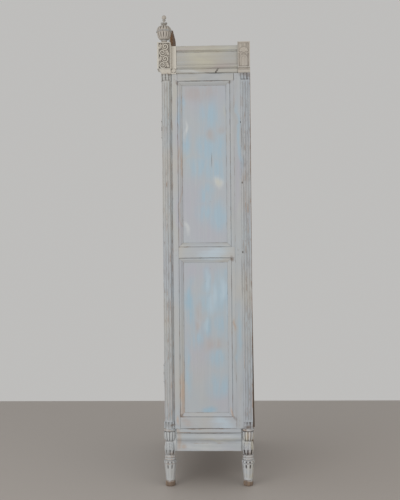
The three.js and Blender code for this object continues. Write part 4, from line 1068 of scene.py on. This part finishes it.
def panel(origin, axes, u_sight, v_sight, thickness):
    """A flat panel with a tongue round it. Its corners against the moulding are darkened with dirt and
    painted shade.
    """
    shape, sights = Shape(), (u_sight, v_sight)
    us, vs = (panel_lines(*sight) for sight in sights)
    to_u, to_v = (from_ends(lines) - tongue_reach for lines in (us, vs))
    near = np.maximum(np.minimum(to_u[:, None], to_v[None, :]), 0)
    plate(shape, origin, axes, us, vs, np.zeros(near.shape), -tongue_thickness, marks_of(FAR, near, 0))
    us, vs = (np.unique(np.clip(lines, low + 1, high - 1)) for lines, (low, high) in zip((us, vs), sights))
    near = np.minimum(from_ends(us)[:, None], from_ends(vs)[None, :])
    behind = (axes[0], axes[1], -axes[2])
    top = np.full(near.shape, thickness)
    return plate(shape, origin, behind, us, vs, top, tongue_thickness - 1, marks_of(near + 1.5, FAR, 0))


def side_panel(low, high):
    sight = (shoulder_front + mould_width, mould_back - mould_width)
    thickness = frame_thickness - panel_recess - fit_gap
    origin = (half_body - panel_recess, 0, 0)
    return panel(origin, (Y, Z, X), sight, (low + mould_width, high - mould_width), thickness)


def make_sides():
    make("post_front_right", front_post(), post_paint)
    make("post_front_left", front_post(pocket=True).mirrored(), post_paint)
    make_both("post_back", back_post(), post_paint)
    for name, *rail in rails_of(body_bottom, body_top):
        make_both("side_rail_" + name, side_rail(*rail), side_rail_paint)
    paints = (lower_panel_paint, upper_panel_paint)
    for name, heights, paint in zip(("lower", "upper"), panel_heights, paints):
        make_both("side_panel_" + name, side_panel(*heights), paint)


# Legs and base rails
def round_swell(low, high, base, proud, count=10):
    """A half-round moulding between two heights, standing proud of its base."""
    share = np.linspace(0, 1, count + 1)
    return [(base + proud * math.sin(math.pi * s), low + (high - low) * s) for s in share]


def leg_profile():
    rings = [ring_bottom + ring_height * i for i in range(3)]
    return [
        (0, 0), (19, 0), (22, 2), (23, 6), (23, 20), (21.5, 24), (19, foot_height), (19.8, foot_height + 1),
        (28.6, collar_bottom - 1), (27.5, collar_bottom), (30, collar_bottom + 2), (30.4, collar_bottom + 7),
        (30, ring_bottom - 2), (22, ring_bottom),
        *round_swell(rings[0], rings[1], 22, 4.5, 8)[1:], *round_swell(rings[1], rings[2], 22, 4.5, 8)[1:-1],
        *round_swell(bulb_bottom, cup_bottom, 20, 5.5, 16)[:-1],
        (20.5, cup_bottom), (21, cup_bottom + 2), (23, cup_bottom + 5), (26.5, cup_bottom + 14),
        (28.3, cup_bottom + 26), (29, cup_bottom + 40), (29, seat_bottom - 9), (30.5, seat_bottom - 8),
        (31, seat_bottom - 5), (30, seat_bottom - 1), (28, seat_bottom), (28, base_top), (0, base_top),
    ]


def leg_swell(angle, height):
    """Carving on a leg: a fluted taper, a notched collar, a leafy bulb and a cup of tongues."""
    turn = angle / (2 * math.pi)
    taper = 0.4 * flutes(turn, leg_leaves, 0.6) * window(height, 34.0, 84.0, 9.0)
    taper = np.maximum(taper, flutes(turn, leg_leaves, 0.5) * window(height, 82.0, 103.0, 8.0))
    notch = flutes(turn, leg_notches, 0.5) * window(height, collar_bottom + 2, ring_bottom - 2, 4.0)
    down = (cup_bottom - 4 - height) / (cup_bottom - bulb_bottom - 6)
    between = leaf(across_each(turn + 0.5 / leg_leaves, leg_leaves), down / 0.62, 3)
    foliage = np.maximum(leaf(across_each(turn, leg_leaves), down, 4), 0.75 * between)
    on_bulb = (height > bulb_bottom + 2) & (height < cup_bottom - 3)
    tongue = flutes(turn, leg_tongues, 0.86) * window(height, cup_bottom + 4, seat_bottom - 11, 12.0)
    on_cup = (height > cup_bottom + 3) & (height < seat_bottom - 10)
    out = -3.2 * taper - 3.4 * notch + np.where(on_bulb, 4.8 * foliage - 2.6, 0)
    out = out + np.where(on_cup, 3.4 * tongue - 2.0, 0)
    hollow = taper + notch + np.where(on_bulb, 1 - foliage, 0) + np.where(on_cup, 1 - tongue, 0)
    return out, hollow


def leg(place):
    x, y, inward = place
    shape = lathe(Shape(), (x, y, 0), leg_profile(), leg_sides, leg_step, leg_swell)
    ys = sorted((y - inward * leg_core_out, y + inward * leg_core))
    return rounded_box(shape, (x - leg_core, ys[0], base_bottom), (x + leg_core_out, ys[1], seat_bottom))


def base_outline():
    torus = round_swell(*base_torus, -base_fillet_proud, base_torus_proud + base_fillet_proud)
    return [
        (-base_thickness, base_bottom), (0, base_bottom), (0, base_torus[0] - base_groove - 4),
        (-1.5, base_torus[0] - base_groove - 3), (-base_fillet_proud, base_torus[0] - base_groove),
        *torus, (-base_fillet_proud, base_fillet[0]), (0, base_fillet[0]),
        (base_fillet_proud, base_fillet[0] + 3), (base_fillet_proud, base_fillet[1]), (0, base_top),
        (-base_thickness, base_top),
    ]


def bar(outline, out, along, face, low, high):
    """A moulded rail between two joints: its section is given as distance out from its face, and height."""
    section, origin = trace(outline, rounding=0.6), face * np.abs(out)
    return sweep(Shape(), section, (out, Z, along), low, high, origin, ends="joint joint")


def back_rail(half, thickness, low, high):
    return rounded_box(Shape(), (-half, body_depth - thickness, low), (half, body_depth, high), along=0)


def make_base():
    for name, place in (("front", front_leg), ("back", back_leg)):
        make_both("leg_" + name, leg(place), leg_paint)
    start, end = front_leg[1] + leg_core + fit_gap, back_leg[1] - leg_core - fit_gap
    front_half, back_half = (place[0] - leg_core - fit_gap for place in (front_leg, back_leg))
    outline = base_outline()
    make_both("base_rail_side", bar(outline, X, Y, half_body, start, end), side_rail_paint)
    make("base_rail_front", bar(outline, -Y, X, front_face, -front_half, front_half), front_rail_paint)
    make("base_rail_back", back_rail(back_half, base_thickness, base_bottom, base_top), back_rail_paint)


# Cornice
def frieze_outline():
    profile = [
        (-3, 4), (3, 4.5), (3, 20.5), (1, 21), (-2, 22), (-3, 24.5), (-2, 27), (0, 28),
        *round_swell(28, 44, 0, 5)[1:], (0, 101), (-1.4, 102), (-2.7, 104.5), (-3, 107), (-2.2, 109.2),
        (3, 110),
    ]
    top = frieze_top - 0.5
    return [
        (-frieze_thickness, cornice_bottom), (-3, cornice_bottom),
        *((out, body_top + up) for out, up in profile), (3, top), (-frieze_thickness, top),
    ]


def carved_face(shape, origin, axes, width, height, depth, ground, step=1.1):
    """A carved plate: ground gives the relief from 0 to 1 over its width and height."""
    us, vs = (np.linspace(0, size, round(size / step) + 1) for size in (width, height))
    relief = np.clip(ground(us[:, None], vs[None, :]), 0, 1)
    return plate(shape, origin, axes, us, vs, depth * relief + ground_rise, -1.0, relief_marks(relief))


def border(us, vs, width, height, size):
    """1 on a plain border round a face, falling to 0 inside it."""
    near = np.minimum(np.minimum(us, width - us), np.minimum(vs, height - vs))
    return np.clip((size + border_slope - near) / border_slope, 0, 1)


def front_block_face(width, height):
    """Curled shoots that turn to and fro up the face, with leaves between them, in a plain border."""
    def ground(us, vs):
        reach = 0.15 * height
        whole = np.zeros(np.broadcast(us, vs).shape)
        for i in range(4):
            turn = 1 - 2 * (i % 2)
            middle = (width / 2 - turn * 0.1 * width, (0.155 + 0.23 * i) * height)
            whole = np.maximum(whole, scroll(us, vs, middle, reach, turn))
            side = width / 2 + turn * 0.29 * width
            across = (us - side + turn * (vs - middle[1]) * 0.25) / (0.13 * width)
            shoot = leaf(across, (vs - middle[1] + 0.1 * height) / (0.22 * height), 3)
            whole = np.maximum(whole, 0.9 * shoot)
        return np.maximum(whole, border(us, vs, width, height, 2.6))
    return ground


def back_block_face(width, height):
    """A fan over a bar of two curves, and a tall arch below, in a plain border."""
    def ground(us, vs):
        middle = us - width / 2
        bar_height = 0.58 * height + 4 * np.cos(middle / width * 4 * math.pi)
        bar_line = np.exp(-((vs - bar_height) / 2.2) ** 2)
        up = vs - 0.62 * height
        fan = (np.hypot(middle, up) < 0.36 * width) * (up > 0)
        fan = fan * (0.45 + 0.55 * np.abs(np.cos(4.5 * np.arctan2(up, middle))))
        above = vs - 0.36 * height
        away = np.where(above > 0, np.hypot(middle, above), np.abs(middle))
        arch = np.exp(-((away - 14) / 2.4) ** 2) * (vs > 9) * (vs < bar_height - 4)
        reed = 0.7 * np.abs(np.cos(middle * math.pi / 7)) * (away < 10) * (vs > 9)
        inside = np.maximum.reduce([bar_line, fan, arch, reed])
        return np.maximum(0.85 * inside, border(us, vs, width, height, 4.5))
    return ground


def flower(us, vs):
    half = flower_size / 2
    return rosette((us - half) / half, (vs - half) / half)


def front_block():
    """The block on a front corner: a hollow below, and carving on its two outer faces."""
    hollow_top = body_top + block_hollow
    outer_x, outer_y = block_outer_x - front_relief, block_outer_y + front_relief
    outline = [
        (block_inner_x, outer_y), (outer_x, outer_y), (outer_x, block_inner_y),
        (block_inner_x, block_inner_y),
    ]

    def morph(points, marks, height):
        share = np.clip((height - cornice_bottom) / (hollow_top - cornice_bottom), 0, 1)
        inset = (1 - share ** 2.2) * block_inset
        new, marks = points.copy(), marks.copy()
        new[:, 0] -= inset * np.clip((points[:, 0] - block_inner_x) / (outer_x - block_inner_x), 0, 1)
        new[:, 1] += inset * np.clip((block_inner_y - points[:, 1]) / (block_inner_y - outer_y), 0, 1)
        # The hollow under the block is marked darker towards its foot: painted shade under the block
        marks[:, 2] = 0.5 * (1 - share)
        return new, marks

    shape = sweep(
        Shape(), trace(outline), (X, Y, Z), cornice_bottom, block_top, ends="joint edge", morph=morph,
        stops=np.linspace(cornice_bottom + 1, hollow_top, 12),
    )
    width, tall = block_outer_x - block_inner_x - 2 * face_margin, block_top - hollow_top - face_margin
    face, depth, side = front_block_face(width, tall), front_relief - ground_rise, (Y, Z, X)
    carved_face(shape, (outer_x, block_outer_y + face_margin, hollow_top), side, width, tall, depth, face)
    width -= face_margin
    carved_face(shape, (block_inner_x, outer_y, hollow_top), (X, Z, -Y), width, tall, depth, face)
    side_x, inner_y = half_body + strip_proud, block_inner_y - strip_proud
    front_y, inner_x = front_face - strip_proud, block_inner_x + strip_proud
    for low, high in (
        ((half_body - frieze_thickness, inner_y), (side_x, block_inner_y + block_strip)),
        ((block_inner_x - block_strip, front_y), (inner_x, front_face + frieze_thickness)),
    ):
        rounded_box(shape, (*low, cornice_bottom), (*high, frieze_top), ends="joint edge")
    for x, y, axes in (
        (side_x, block_inner_y + strip_proud, side), (block_inner_x - strip_proud, front_y, (-X, Z, -Y)),
    ):
        carved_face(shape, (x, y, cornice_bottom + 5), axes, flower_size, flower_size, 2.0, flower)
    return shape


def back_block():
    """The block on a back corner: a cushion, a groove, and a face in low relief."""
    face_x, foot_top = back_block_x - back_relief, body_top + 18
    low = foot_top + 6
    outline = [
        (back_block_inner_x, cornice_bottom), *round_swell(cornice_bottom, foot_top, back_block_x - 5, 5),
        (back_block_x - 9, foot_top + 0.5), (back_block_x - 9, low), (face_x, low + 0.5),
        (face_x, block_top), (back_block_inner_x, block_top),
    ]
    shape = sweep(Shape(), trace(outline), (X, Z, Y), back_block_front, body_depth, ends="joint edge")
    width, tall = body_depth - back_block_front - 2 * face_margin, block_top - low - 0.9
    origin, face = (face_x, back_block_front + face_margin, low + 0.7), back_block_face(width, tall)
    return carved_face(shape, origin, (Y, Z, X), width, tall, back_relief - ground_rise, face)


# Finials
finial_bottom = block_top + fit_gap


def finial_profile():
    turns = [math.pi / 2 * share for share in np.linspace(0, 1, 9)]
    bowl = [(11 + 22.0 * math.sin(t) ** 0.75, 18 + 34 * (1 - math.cos(t))) for t in turns]
    dome = [(8 + 27.5 * math.cos(t), 59 + 26 * math.sin(t)) for t in turns]
    ball = [(10.5 * math.cos(t), 123.5 + 10.5 * math.sin(t)) for t in np.radians(range(-65, 90, 15))]
    profile = [
        (0, 0), (17, 0), (17, 3), (15, 5), (13, 8), (13, 11), (15, 13), (15, 15), (11, 17), *bowl, (37, 53),
        (37.5, 55.5), (37, 58), *dome, (6, 86), (4.5, 88), (4.5, 91), (14.5, 92.5), (16, 96), (14.5, 99.5),
        (6, 101), (4.5, 104), (4.5, 108), (8, 110), (8, 112), *ball, (0, 134),
    ]
    return [(radius, finial_bottom + height) for radius, height in profile]


def finial_swell(angle, height):
    """Gadroons on the bowl and on the lid, and beads on the rim."""
    turn, up = angle / (2 * math.pi), height - finial_bottom
    gadroon = 1 - flutes(turn, finial_gadroons, 0.9)
    bowl, lid = gadroon * window(up, 24, 51, 10), gadroon * window(up, 61, 84, 10)
    rim = (1 - flutes(turn, finial_beads, 0.8)) * window(up, 53, 58, 2)
    return -3.6 * bowl - 3.4 * lid - 1.6 * rim, np.clip(1.2 * bowl + 1.2 * lid + rim, 0, 1)


# Outline of the crest's right half, as shares of its half width and of its height
crest_shares = (
    (0, 1), (0.12, 0.985), (0.24, 1), (0.33, 0.965), (0.375, 0.895), (0.38, 0.82), (0.355, 0.74),
    (0.325, 0.66), (0.315, 0.59), (0.35, 0.54), (0.42, 0.5), (0.49, 0.43), (0.56, 0.36), (0.65, 0.32),
    (0.74, 0.35), (0.81, 0.34), (0.87, 0.26), (0.92, 0.16), (0.96, 0.1), (1, 0.06), (1, 0),
)
# Curled shoots on the right half of the crest: middle, reach, and which way they turn
crest_shoots = (
    ((86, 140), 22, 1), ((112, 66), 33, -1), ((173, 42), 27, 1), ((222, 32), 20, -1), ((260, 27), 15, 1),
    ((36, 26), 15, -1), ((66, 30), 14, 1), ((288, 21), 10, -1),
)


def crest_outline():
    tall = crest_top - crest_bottom
    right = [(out * crest_half, crest_bottom + rise * tall) for out, rise in crest_shares]
    return [(-x, z) for x, z in right[:0:-1]] + right


def to_outline(xs, zs, outline):
    """Distance of each point from the outline, and whether it is inside it."""
    best = np.full(xs.shape, FAR)
    inside = np.zeros(xs.shape, bool)
    for (ax, az), (bx, bz) in zip(outline, outline[1:] + outline[:1]):
        dx, dz = bx - ax, bz - az
        share = np.clip(((xs - ax) * dx + (zs - az) * dz) / max(dx * dx + dz * dz, 1e-9), 0, 1)
        best = np.minimum(best, np.hypot(xs - ax - share * dx, zs - az - share * dz))
        crosses = (az > zs) != (bz > zs)
        with np.errstate(divide="ignore", invalid="ignore"):
            at = ax + (zs - az) / dz * dx if dz else xs
        inside ^= crosses & (xs < at)
    return best, inside


def crest():
    """The crest: a board with a rolled border, a shell, a flower and curled shoots carved on its front."""
    outline, ground_y = crest_outline(), crest_front + crest_relief
    shape = sweep(Shape(), trace(outline, rounding=1.5), (X, Z, Y), ground_y, crest_back)
    xs = np.arange(-crest_half + 1, crest_half, crest_step)
    zs = np.arange(crest_bottom + 1, crest_top, crest_step)
    grid_x, grid_z = np.meshgrid(xs, zs, indexing="ij")
    away, inside = to_outline(grid_x, grid_z, outline)
    up, tall = grid_z - crest_bottom, crest_top - crest_bottom
    roll = np.sqrt(np.clip(1 - ((away - 9) / 6.5) ** 2, 0, 1))
    shell_x, shell_z = grid_x / shell_reach, (up - 0.3 * tall) / shell_reach
    ribs = 0.4 + 0.6 * np.abs(np.cos(6.5 * np.arctan2(shell_z, shell_x)))
    radius = np.hypot(shell_x, shell_z)
    shell = np.where((radius < 1) & (shell_z > 0), ribs * window(radius, 0.12, 1, 0.2), 0)
    boss = rosette(grid_x / boss_reach, (up - 0.28 * tall) / boss_reach)
    shoots = [scroll(np.abs(grid_x), up, *shoot) for shoot in crest_shoots]
    carving = np.clip(np.maximum.reduce([roll, shell, boss, *shoots]), 0, 1)
    carving = np.where(away > 4, carving, 0)
    height = crest_relief * carving + np.where(away > 3, ground_rise, -0.6)
    keep, marks = inside & (away > 1.5), relief_marks(carving)
    return plate(shape, (0, ground_y, 0), (X, Z, -Y), xs, zs, height, -2.0, marks, keep)


def front_frieze():
    """The front rail of the cornice, with a row of short flutes."""
    reach = block_inner_x - block_strip - fit_gap
    shape, width = bar(frieze_outline(), -Y, X, front_face, -reach, reach), 2 * (reach - band_margin)

    def ground(us, vs):
        return 1 - flutes(us / width, band_flutes, 0.6) * window(vs, 4, band_height - 4, 6)

    origin = (-width / 2, front_face, body_top + band_low)
    return carved_face(shape, origin, (X, Z, -Y), width, band_height, band_depth, ground, step=1.5)


def finial():
    middle = ((block_inner_x + block_outer_x) / 2, (block_inner_y + block_outer_y) / 2, 0)
    return lathe(Shape(), middle, finial_profile(), 112, 1.5, finial_swell)


def make_cornice():
    start, end = block_inner_y + block_strip + fit_gap, back_block_front - fit_gap
    make_both("frieze_side", bar(frieze_outline(), X, Y, half_body, start, end), frieze_paint)
    make("frieze_front", front_frieze(), front_rail_paint)
    back = back_rail(back_block_inner_x - fit_gap, frieze_thickness, cornice_bottom, frieze_top)
    make("frieze_back", back, shelf_wood)
    make_both("block_front", front_block(), block_paint)
    make_both("block_back", back_block(), back_block_paint)
    make_both("finial", finial(), finial_paint)
    make("crest", crest(), crest_paint)


# Door
def with_keyhole(section):
    """The stile's section with points at the keyhole's sides on its front and back faces."""
    points, marks = section
    for y in (front_face, front_face + door_thickness):
        beside, on_face = points[:, 0] + key_x, np.abs(points[:, 1] - y) < face_slack
        kept = ~on_face | (np.abs(beside) >= keyhole_half + 0.5)
        points, marks, beside, on_face = (values[kept] for values in (points, marks, beside, on_face))
        last = np.flatnonzero(on_face & (beside * np.roll(beside, -1) < 0))[0]
        xs = -key_x - np.sign(beside[last]) * np.array([-keyhole_half, keyhole_half])
        edges = np.minimum(xs - door_shoulder, door_half - xs)
        places = [last + 1] * 2
        points = np.insert(points, places, [(x, y) for x in xs], axis=0)
        marks = np.insert(marks, places, [(edge, FAR, 0.0) for edge in edges], axis=0)
    return points, marks


def open_keyhole(shape):
    """Takes the keyhole's front and back face off the stile, and walls the hole between them."""
    points = np.concatenate(shape.points)[:, [0, 2]]
    low, high = (-key_x - keyhole_half, keyhole_ends[0]), (-key_x + keyhole_half, keyhole_ends[1])
    corner = ((points > np.array(low) - 0.1) & (points < np.array(high) + 0.1)).all(axis=1)
    front, back = holes = [face for face in shape.faces if corner[list(face)].all()]
    behind = {here: min(back, key=lambda there: np.abs(points[there] - points[here]).sum()) for here in front}
    shape.faces = [face for face in shape.faces if face not in holes]
    for here, there in zip(front, front[1:] + front[:1]):
        shape.faces.append((here, there, behind[there], behind[here]))


def door_stile(keyhole=False):
    back = front_face + door_thickness
    outline = [(door_shoulder, front_face), (door_half, front_face), (door_half, back), (door_shoulder, back)]
    section, stops, heights = trace(outline), (), peg_heights
    if keyhole:
        section, stops = with_keyhole(section), keyhole_ends
        heights = [height for height in peg_heights if not keyhole_ends[0] < height < keyhole_ends[1]]
    shape = sweep(Shape(), section, (X, Y, Z), door_low, door_high, stops=stops)
    if keyhole:
        open_keyhole(shape)
    for bottom, top in panel_heights:
        start = (door_shoulder, front_face, bottom)
        mould_strip(shape, start, -X, -Y, Z, top - bottom, door_thickness)
    pegs(shape, peg_door, front_face, -Y, X, heights)
    return shape


def door_rail(low, high, strips):
    reach = door_shoulder - fit_gap
    box_low, box_high = (-reach, front_face, low), (reach, front_face + door_thickness, high)
    shape = rounded_box(Shape(), box_low, box_high, along=0, ends="joint joint", rounding=0.5)
    for height, direction in strips:
        start = (-door_shoulder, front_face, height)
        mould_strip(shape, start, direction * Z, -Y, X, 2 * door_shoulder, door_thickness)
    return shape


def door_panel(low, high):
    origin, sight = (0, front_face + panel_recess, 0), door_shoulder - mould_width
    thickness = door_thickness - panel_recess - fit_gap
    return panel(origin, (X, Z, -Y), (-sight, sight), (low + mould_width, high - mould_width), thickness)


def make_door():
    make("door_stile_hinge", door_stile(), post_paint, body="door")
    make("door_stile_lock", door_stile(keyhole=True).mirrored(), post_paint, body="door")
    for name, *rail in rails_of(door_low, door_high):
        make("door_rail_" + name, door_rail(*rail), front_rail_paint, body="door")
    for name, heights in zip(("lower", "upper"), panel_heights):
        make("door_panel_" + name, door_panel(*heights), door_panel_paint, "door")


# Inside and back
def board(right, low, high):
    """A flat board, given by the corners of its right half in plan."""
    outline = right + [(-x, y) for x, y in reversed(right)]
    return sweep(Shape(), trace(outline), (X, Y, Z), low, high)


def planks(front, thickness, low, high, spring=0.0):
    """Upright planks with shallow V joints on both faces, whose foot may have sprung outwards."""
    notch = ((-plank_groove, 0), (0, plank_groove), (plank_groove, 0))
    dents = [(share * board_half + out, depth) for share in plank_joints for out, depth in notch]
    inner = [(x, front + depth) for x, depth in [(-board_half, 0), *dents, (board_half, 0)]]
    outer = [(x, 2 * front + thickness - y) for x, y in reversed(inner)]
    # The side edges of the boards are painted darker than any plank: painted shade where they sit in the
    # posts' rebates
    points, marks = trace(inner + outer)
    plank = np.searchsorted(np.array(plank_joints) * board_half, points[:, 0])
    at_side = np.abs(points[:, 0]) > board_half - 0.1
    marks[:, 2] = np.where(at_side, plank_side_shade, np.array(plank_dirt)[plank])

    def morph(points, marks, height):
        return points + (0, spring * (high - height) / (high - low)), marks

    return sweep(Shape(), (points, marks), (X, Y, Z), low, high, morph=morph)


def nails(shape, y, heights):
    for share in plank_joints:
        for side in (-nail_beside, nail_beside):
            for height in heights:
                head(shape, (share * board_half + side, y, height), Y, Z, nail_radius, nail_proud)


def cleat(height):
    low = (inside_x - cleat_thickness, shoulder_front + fit_gap, height - cleat_height)
    return rounded_box(Shape(), low, (inside_x, shoulder_back - fit_gap, height), along=1)


def make_shelves():
    """The floor board and the shelves, cut out round the posts, and the shelves' cleats."""
    stop, front = stop_half - fit_gap, shoulder_front + fit_gap
    inner, back = back_inner - fit_gap, shoulder_back - fit_gap
    boards = {"floor_board": (stop_face, base_top + fit_gap, floor_thickness)}
    for name, height in shelf_heights.items():
        boards["shelf_" + name] = (shelf_front, height, shelf_thickness)
    for node, (edge, low, thickness) in boards.items():
        plan = [
            (stop, edge), (stop, front), (inside_x, front), (inside_x, back), (inner, back),
            (inner, rebate_y - fit_gap),
        ]
        make(node, board(plan, low, low + thickness), shelf_wood)
    for name, height in shelf_heights.items():
        make_both("cleat_" + name, cleat(height - fit_gap), cleat_wood)


def make_top():
    inner, front = half_body - frieze_thickness - fit_gap, front_face + frieze_thickness + fit_gap
    block, back_block_side = block_inner_x - fit_gap, back_block_inner_x - fit_gap
    near, far = block_inner_y + fit_gap, back_block_front - fit_gap
    plan = [
        (block, front), (block, near), (inner, near), (inner, far), (back_block_side, far),
        (back_block_side, body_depth - frieze_thickness - fit_gap),
    ]
    make("top_board", board(plan, cornice_bottom, cornice_bottom + top_thickness), shelf_wood)


def make_back():
    front = rebate_y + fit_gap
    upper = planks(front, upper_board_thickness, board_split + 1, body_top)
    nails(upper, front + upper_board_thickness, (board_split + nail_inset, body_top - nail_inset))
    make("back_board_upper", upper, board_wood)
    front = body_depth - fit_gap - lower_board_thickness
    lower = planks(front, lower_board_thickness, body_bottom, board_split, board_spring)
    nails(lower, front + lower_board_thickness + 0.1, (board_split - nail_inset,))
    make("back_board_lower", lower, board_wood)


# Hinges and lock
def barrel(end, direction):
    """Radius and height from a hinge's turned tip along its barrel to the joint between its halves."""
    tip = ((0, 13), (1.4, 12.7), (2.9, 11), (4.6, 8), (4.4, 5), (2.8, 3), (4.6, 1.8), (5.4, 0))
    tube = ((6.5, -1.6), (6.5, -3.6), (5.9, -4.6), (5.9, -36), (6.5, -37), (6.5, -barrel_length))
    return [(radius, end + direction * height) for radius, height in tip + tube]


def hinge_half(profile, low, high):
    shape = lathe(Shape(), (hinge_x, hinge_y, 0), profile, 28, 1.5, rounding=0.3)
    flap_low, flap_high = (hinge_x - flap_half, flap_front), (hinge_x + flap_half, flap_back)
    return rounded_box(shape, (*flap_low, low + flap_end), (*flap_high, high - flap_end), rounding=0.3)


def make_hinges():
    for name, height in hinge_heights.items():
        low, pin_top = height - barrel_length, height + pin_length
        profile = barrel(low, -1) + [(pin_radius, height), (pin_radius, pin_top), (0, pin_top)]
        make(f"hinge_{name}_pin_half", hinge_half(profile, low, height), hinge_iron)
        low, high = height + fit_gap, height + fit_gap + barrel_length
        bore = [(0, pin_top + fit_gap), (pin_bore, pin_top + fit_gap), (pin_bore, low)]
        shape = hinge_half(bore + barrel(high, 1)[::-1], low, high)
        make(f"hinge_{name}_door_half", shape, hinge_iron, "door")


def key_shape():
    profile = [
        (0, key_front), (3.4, key_front), (4.8, -7.6), (3, -5.6), (4.3, -4.8), (4.9, -3.7), (4.3, -2.6),
        (3.1, -1.8), (3.5, 0.5), (3.5, key_tip - 0.8), (2.8, key_tip), (0, key_tip),
    ]
    shape = lathe(Shape(), (key_x, 0, key_z), profile, 24, 1.2, rounding=0.2, axis=Y, side=X)
    bit_start, bit_end = (key_x - bit_half, bit_front), (key_x + bit_half, bit_back)
    rounded_box(shape, (*bit_start, key_z - bit_low), (*bit_end, key_z - bit_high), rounding=0.3)
    turn, wire = np.meshgrid(np.radians(range(0, 360, 6)), np.radians(range(0, 360, 24)))
    reach = bow_radius + bow_wire * np.cos(wire)
    bow = np.stack([
        key_x + 0.8 * bow_wire * np.sin(wire), key_front - bow_radius + 1 + reach * np.cos(turn),
        key_z + reach * np.sin(turn),
    ], axis=-1)
    return ring_loft(shape, bow, marks_of(3 * (1 - np.cos(wire)), FAR, 0))


def escutcheon():
    """An oval plate with a keyhole and a beaded border."""
    turn = np.radians(np.arange(0, 360, 3))
    across, up = np.cos(turn), np.sin(turn)
    slot = np.minimum(slot_reach / np.maximum(-up, 0.01), slot_half / np.maximum(np.abs(across), 0.01))
    hole = np.where(up < 0, np.maximum(hole_radius, slot), hole_radius)
    edge = 1 / np.hypot(across / plate_half_width, up / plate_half_height)
    beads = 0.6 * np.abs(np.cos(plate_beads / 2 * turn))
    # From the hole to the border: share of the way, height, and how strong the beads are
    section = (
        (0, 0, 0), (0, 1.1, 0), (0.06, 1.3, 0), (0.16, 1.3, 0), (0.2, 0.9, 0), (0.62, 0.9, 0),
        (0.68, 0.9, 0.4), (0.78, 1.1, 1), (0.88, 0.9, 0.4), (0.93, 1.1, 0), (1, 0.7, 0), (1, 0, 0),
    )
    rings, marks = [], []
    for share, out, beaded in section:
        radius = hole + (edge - hole) * share
        proud = out + beaded * beads
        rings.append(np.stack([key_x + radius * across, plate_back - proud, key_z + radius * up], axis=-1))
        low = np.clip(1.3 - proud, 0, 1)
        marks.append(marks_of(3 * low, FAR, low * (0 < share < 1)))
    return ring_loft(Shape(), np.array(rings), np.array(marks), flip=True)


def case_cover():
    """The screwed cover on the back of the lock's case, with a boss for the key's end."""
    (left, _, low), (right, back, high) = case_low, case_high
    face = back + cover_thickness
    start = (left + cover_inset, back, low + cover_inset)
    end = (right - cover_inset, face, high - cover_inset)
    shape = rounded_box(Shape(), start, end, along=1, rounding=0.5)
    for x in (left + screw_inset, right - screw_inset):
        for z in (low + screw_inset, high - screw_inset):
            head(shape, (x, face, z), Y, Z, screw_radius, screw_proud)
    boss = [(0, -0.5), (7, -0.5), (7, 0.6), (5.5, 1.4), (3.4, 1.6), (3, 1.1), (0, 1.1)]
    return lathe(shape, (key_x, face, key_z), boss, 32, 0.8, rounding=0.3, axis=Y, side=Z)


def make_lock():
    make("lock_key", key_shape(), iron, "key")
    make("escutcheon", escutcheon(), brass, "door")
    make("lock_cover", case_cover(), iron, "door")
    for node in ("keeper_plate", "lock_case", "lock_bolt"):
        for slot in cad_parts[node].material_slots:
            slot.link = "OBJECT"
            slot.material = plain_iron


# Floor, light and camera
def make_floor():
    material = bpy.data.materials.new("floor")
    material.use_nodes = True
    shader = material.node_tree.nodes["Principled BSDF"]
    shader.inputs["Base Color"].default_value = srgb(182, 175, 169)
    shader.inputs["Roughness"].default_value = 0.6
    mesh = bpy.data.meshes.new("floor")
    corners = [(x * floor_half, y * floor_half, 0) for x, y in ((-1, -1), (1, -1), (1, 1), (-1, 1))]
    mesh.from_pydata(corners, [], [(0, 1, 2, 3)])
    mesh.materials.append(material)
    floor = bpy.data.objects.new("floor", mesh)
    bpy.context.collection.objects.link(floor)


def area_light(name, place, size, power, colour):
    lamp = bpy.data.lights.new(name, "AREA")
    lamp.shape = "DISK"
    lamp.size = size
    lamp.energy = power
    lamp.color = colour
    light = bpy.data.objects.new(name, lamp)
    light.location = place
    light.rotation_euler = (Vector(light_target) - Vector(place)).to_track_quat("-Z", "Y").to_euler()
    bpy.context.collection.objects.link(light)


def make_light():
    world = bpy.data.worlds.new("studio")
    world.use_nodes = True
    background = world.node_tree.nodes["Background"]
    background.inputs["Color"].default_value = srgb(222, 221, 219)
    background.inputs["Strength"].default_value = 0.7
    bpy.context.scene.world = world
    area_light("key", (3.6, -2.2, 1.2), 3.0, 60.0, (1.0, 0.995, 0.985))
    area_light("fill", (3.2, 2.6, 1.4), 2.4, 21.0, (1.0, 0.97, 0.93))
    bpy.context.scene.view_settings.view_transform = "Standard"


def turn_matrix(angle, first, second):
    matrix = np.eye(3)
    matrix[first, first] = matrix[second, second] = math.cos(angle)
    matrix[second, first] = math.sin(angle)
    matrix[first, second] = -math.sin(angle)
    return matrix


def make_camera():
    """The photograph's camera: nearly square to the right side, a little turned and tilted."""
    yaw, pitch, roll = (math.radians(angle) for angle in camera_angles)
    level = np.array([Y, Z, X])
    view = turn_matrix(roll, 0, 1) @ turn_matrix(pitch, 1, 2) @ level @ turn_matrix(yaw, 0, 1).T
    data = bpy.data.cameras.new("camera")
    data.lens = camera_lens
    camera = bpy.data.objects.new("camera", data)
    place = (camera_x * MM, (camera_y - origin_y) * MM, camera_z * MM)
    camera.matrix_world = Matrix.Translation(place) @ Matrix(view.T.tolist()).to_4x4()
    bpy.context.collection.objects.link(camera)
    bpy.context.scene.camera = camera


make_sides()
make_base()
make_cornice()
make_door()
make_shelves()
make_top()
make_back()
make_hinges()
make_lock()
make_floor()
make_light()
make_camera()
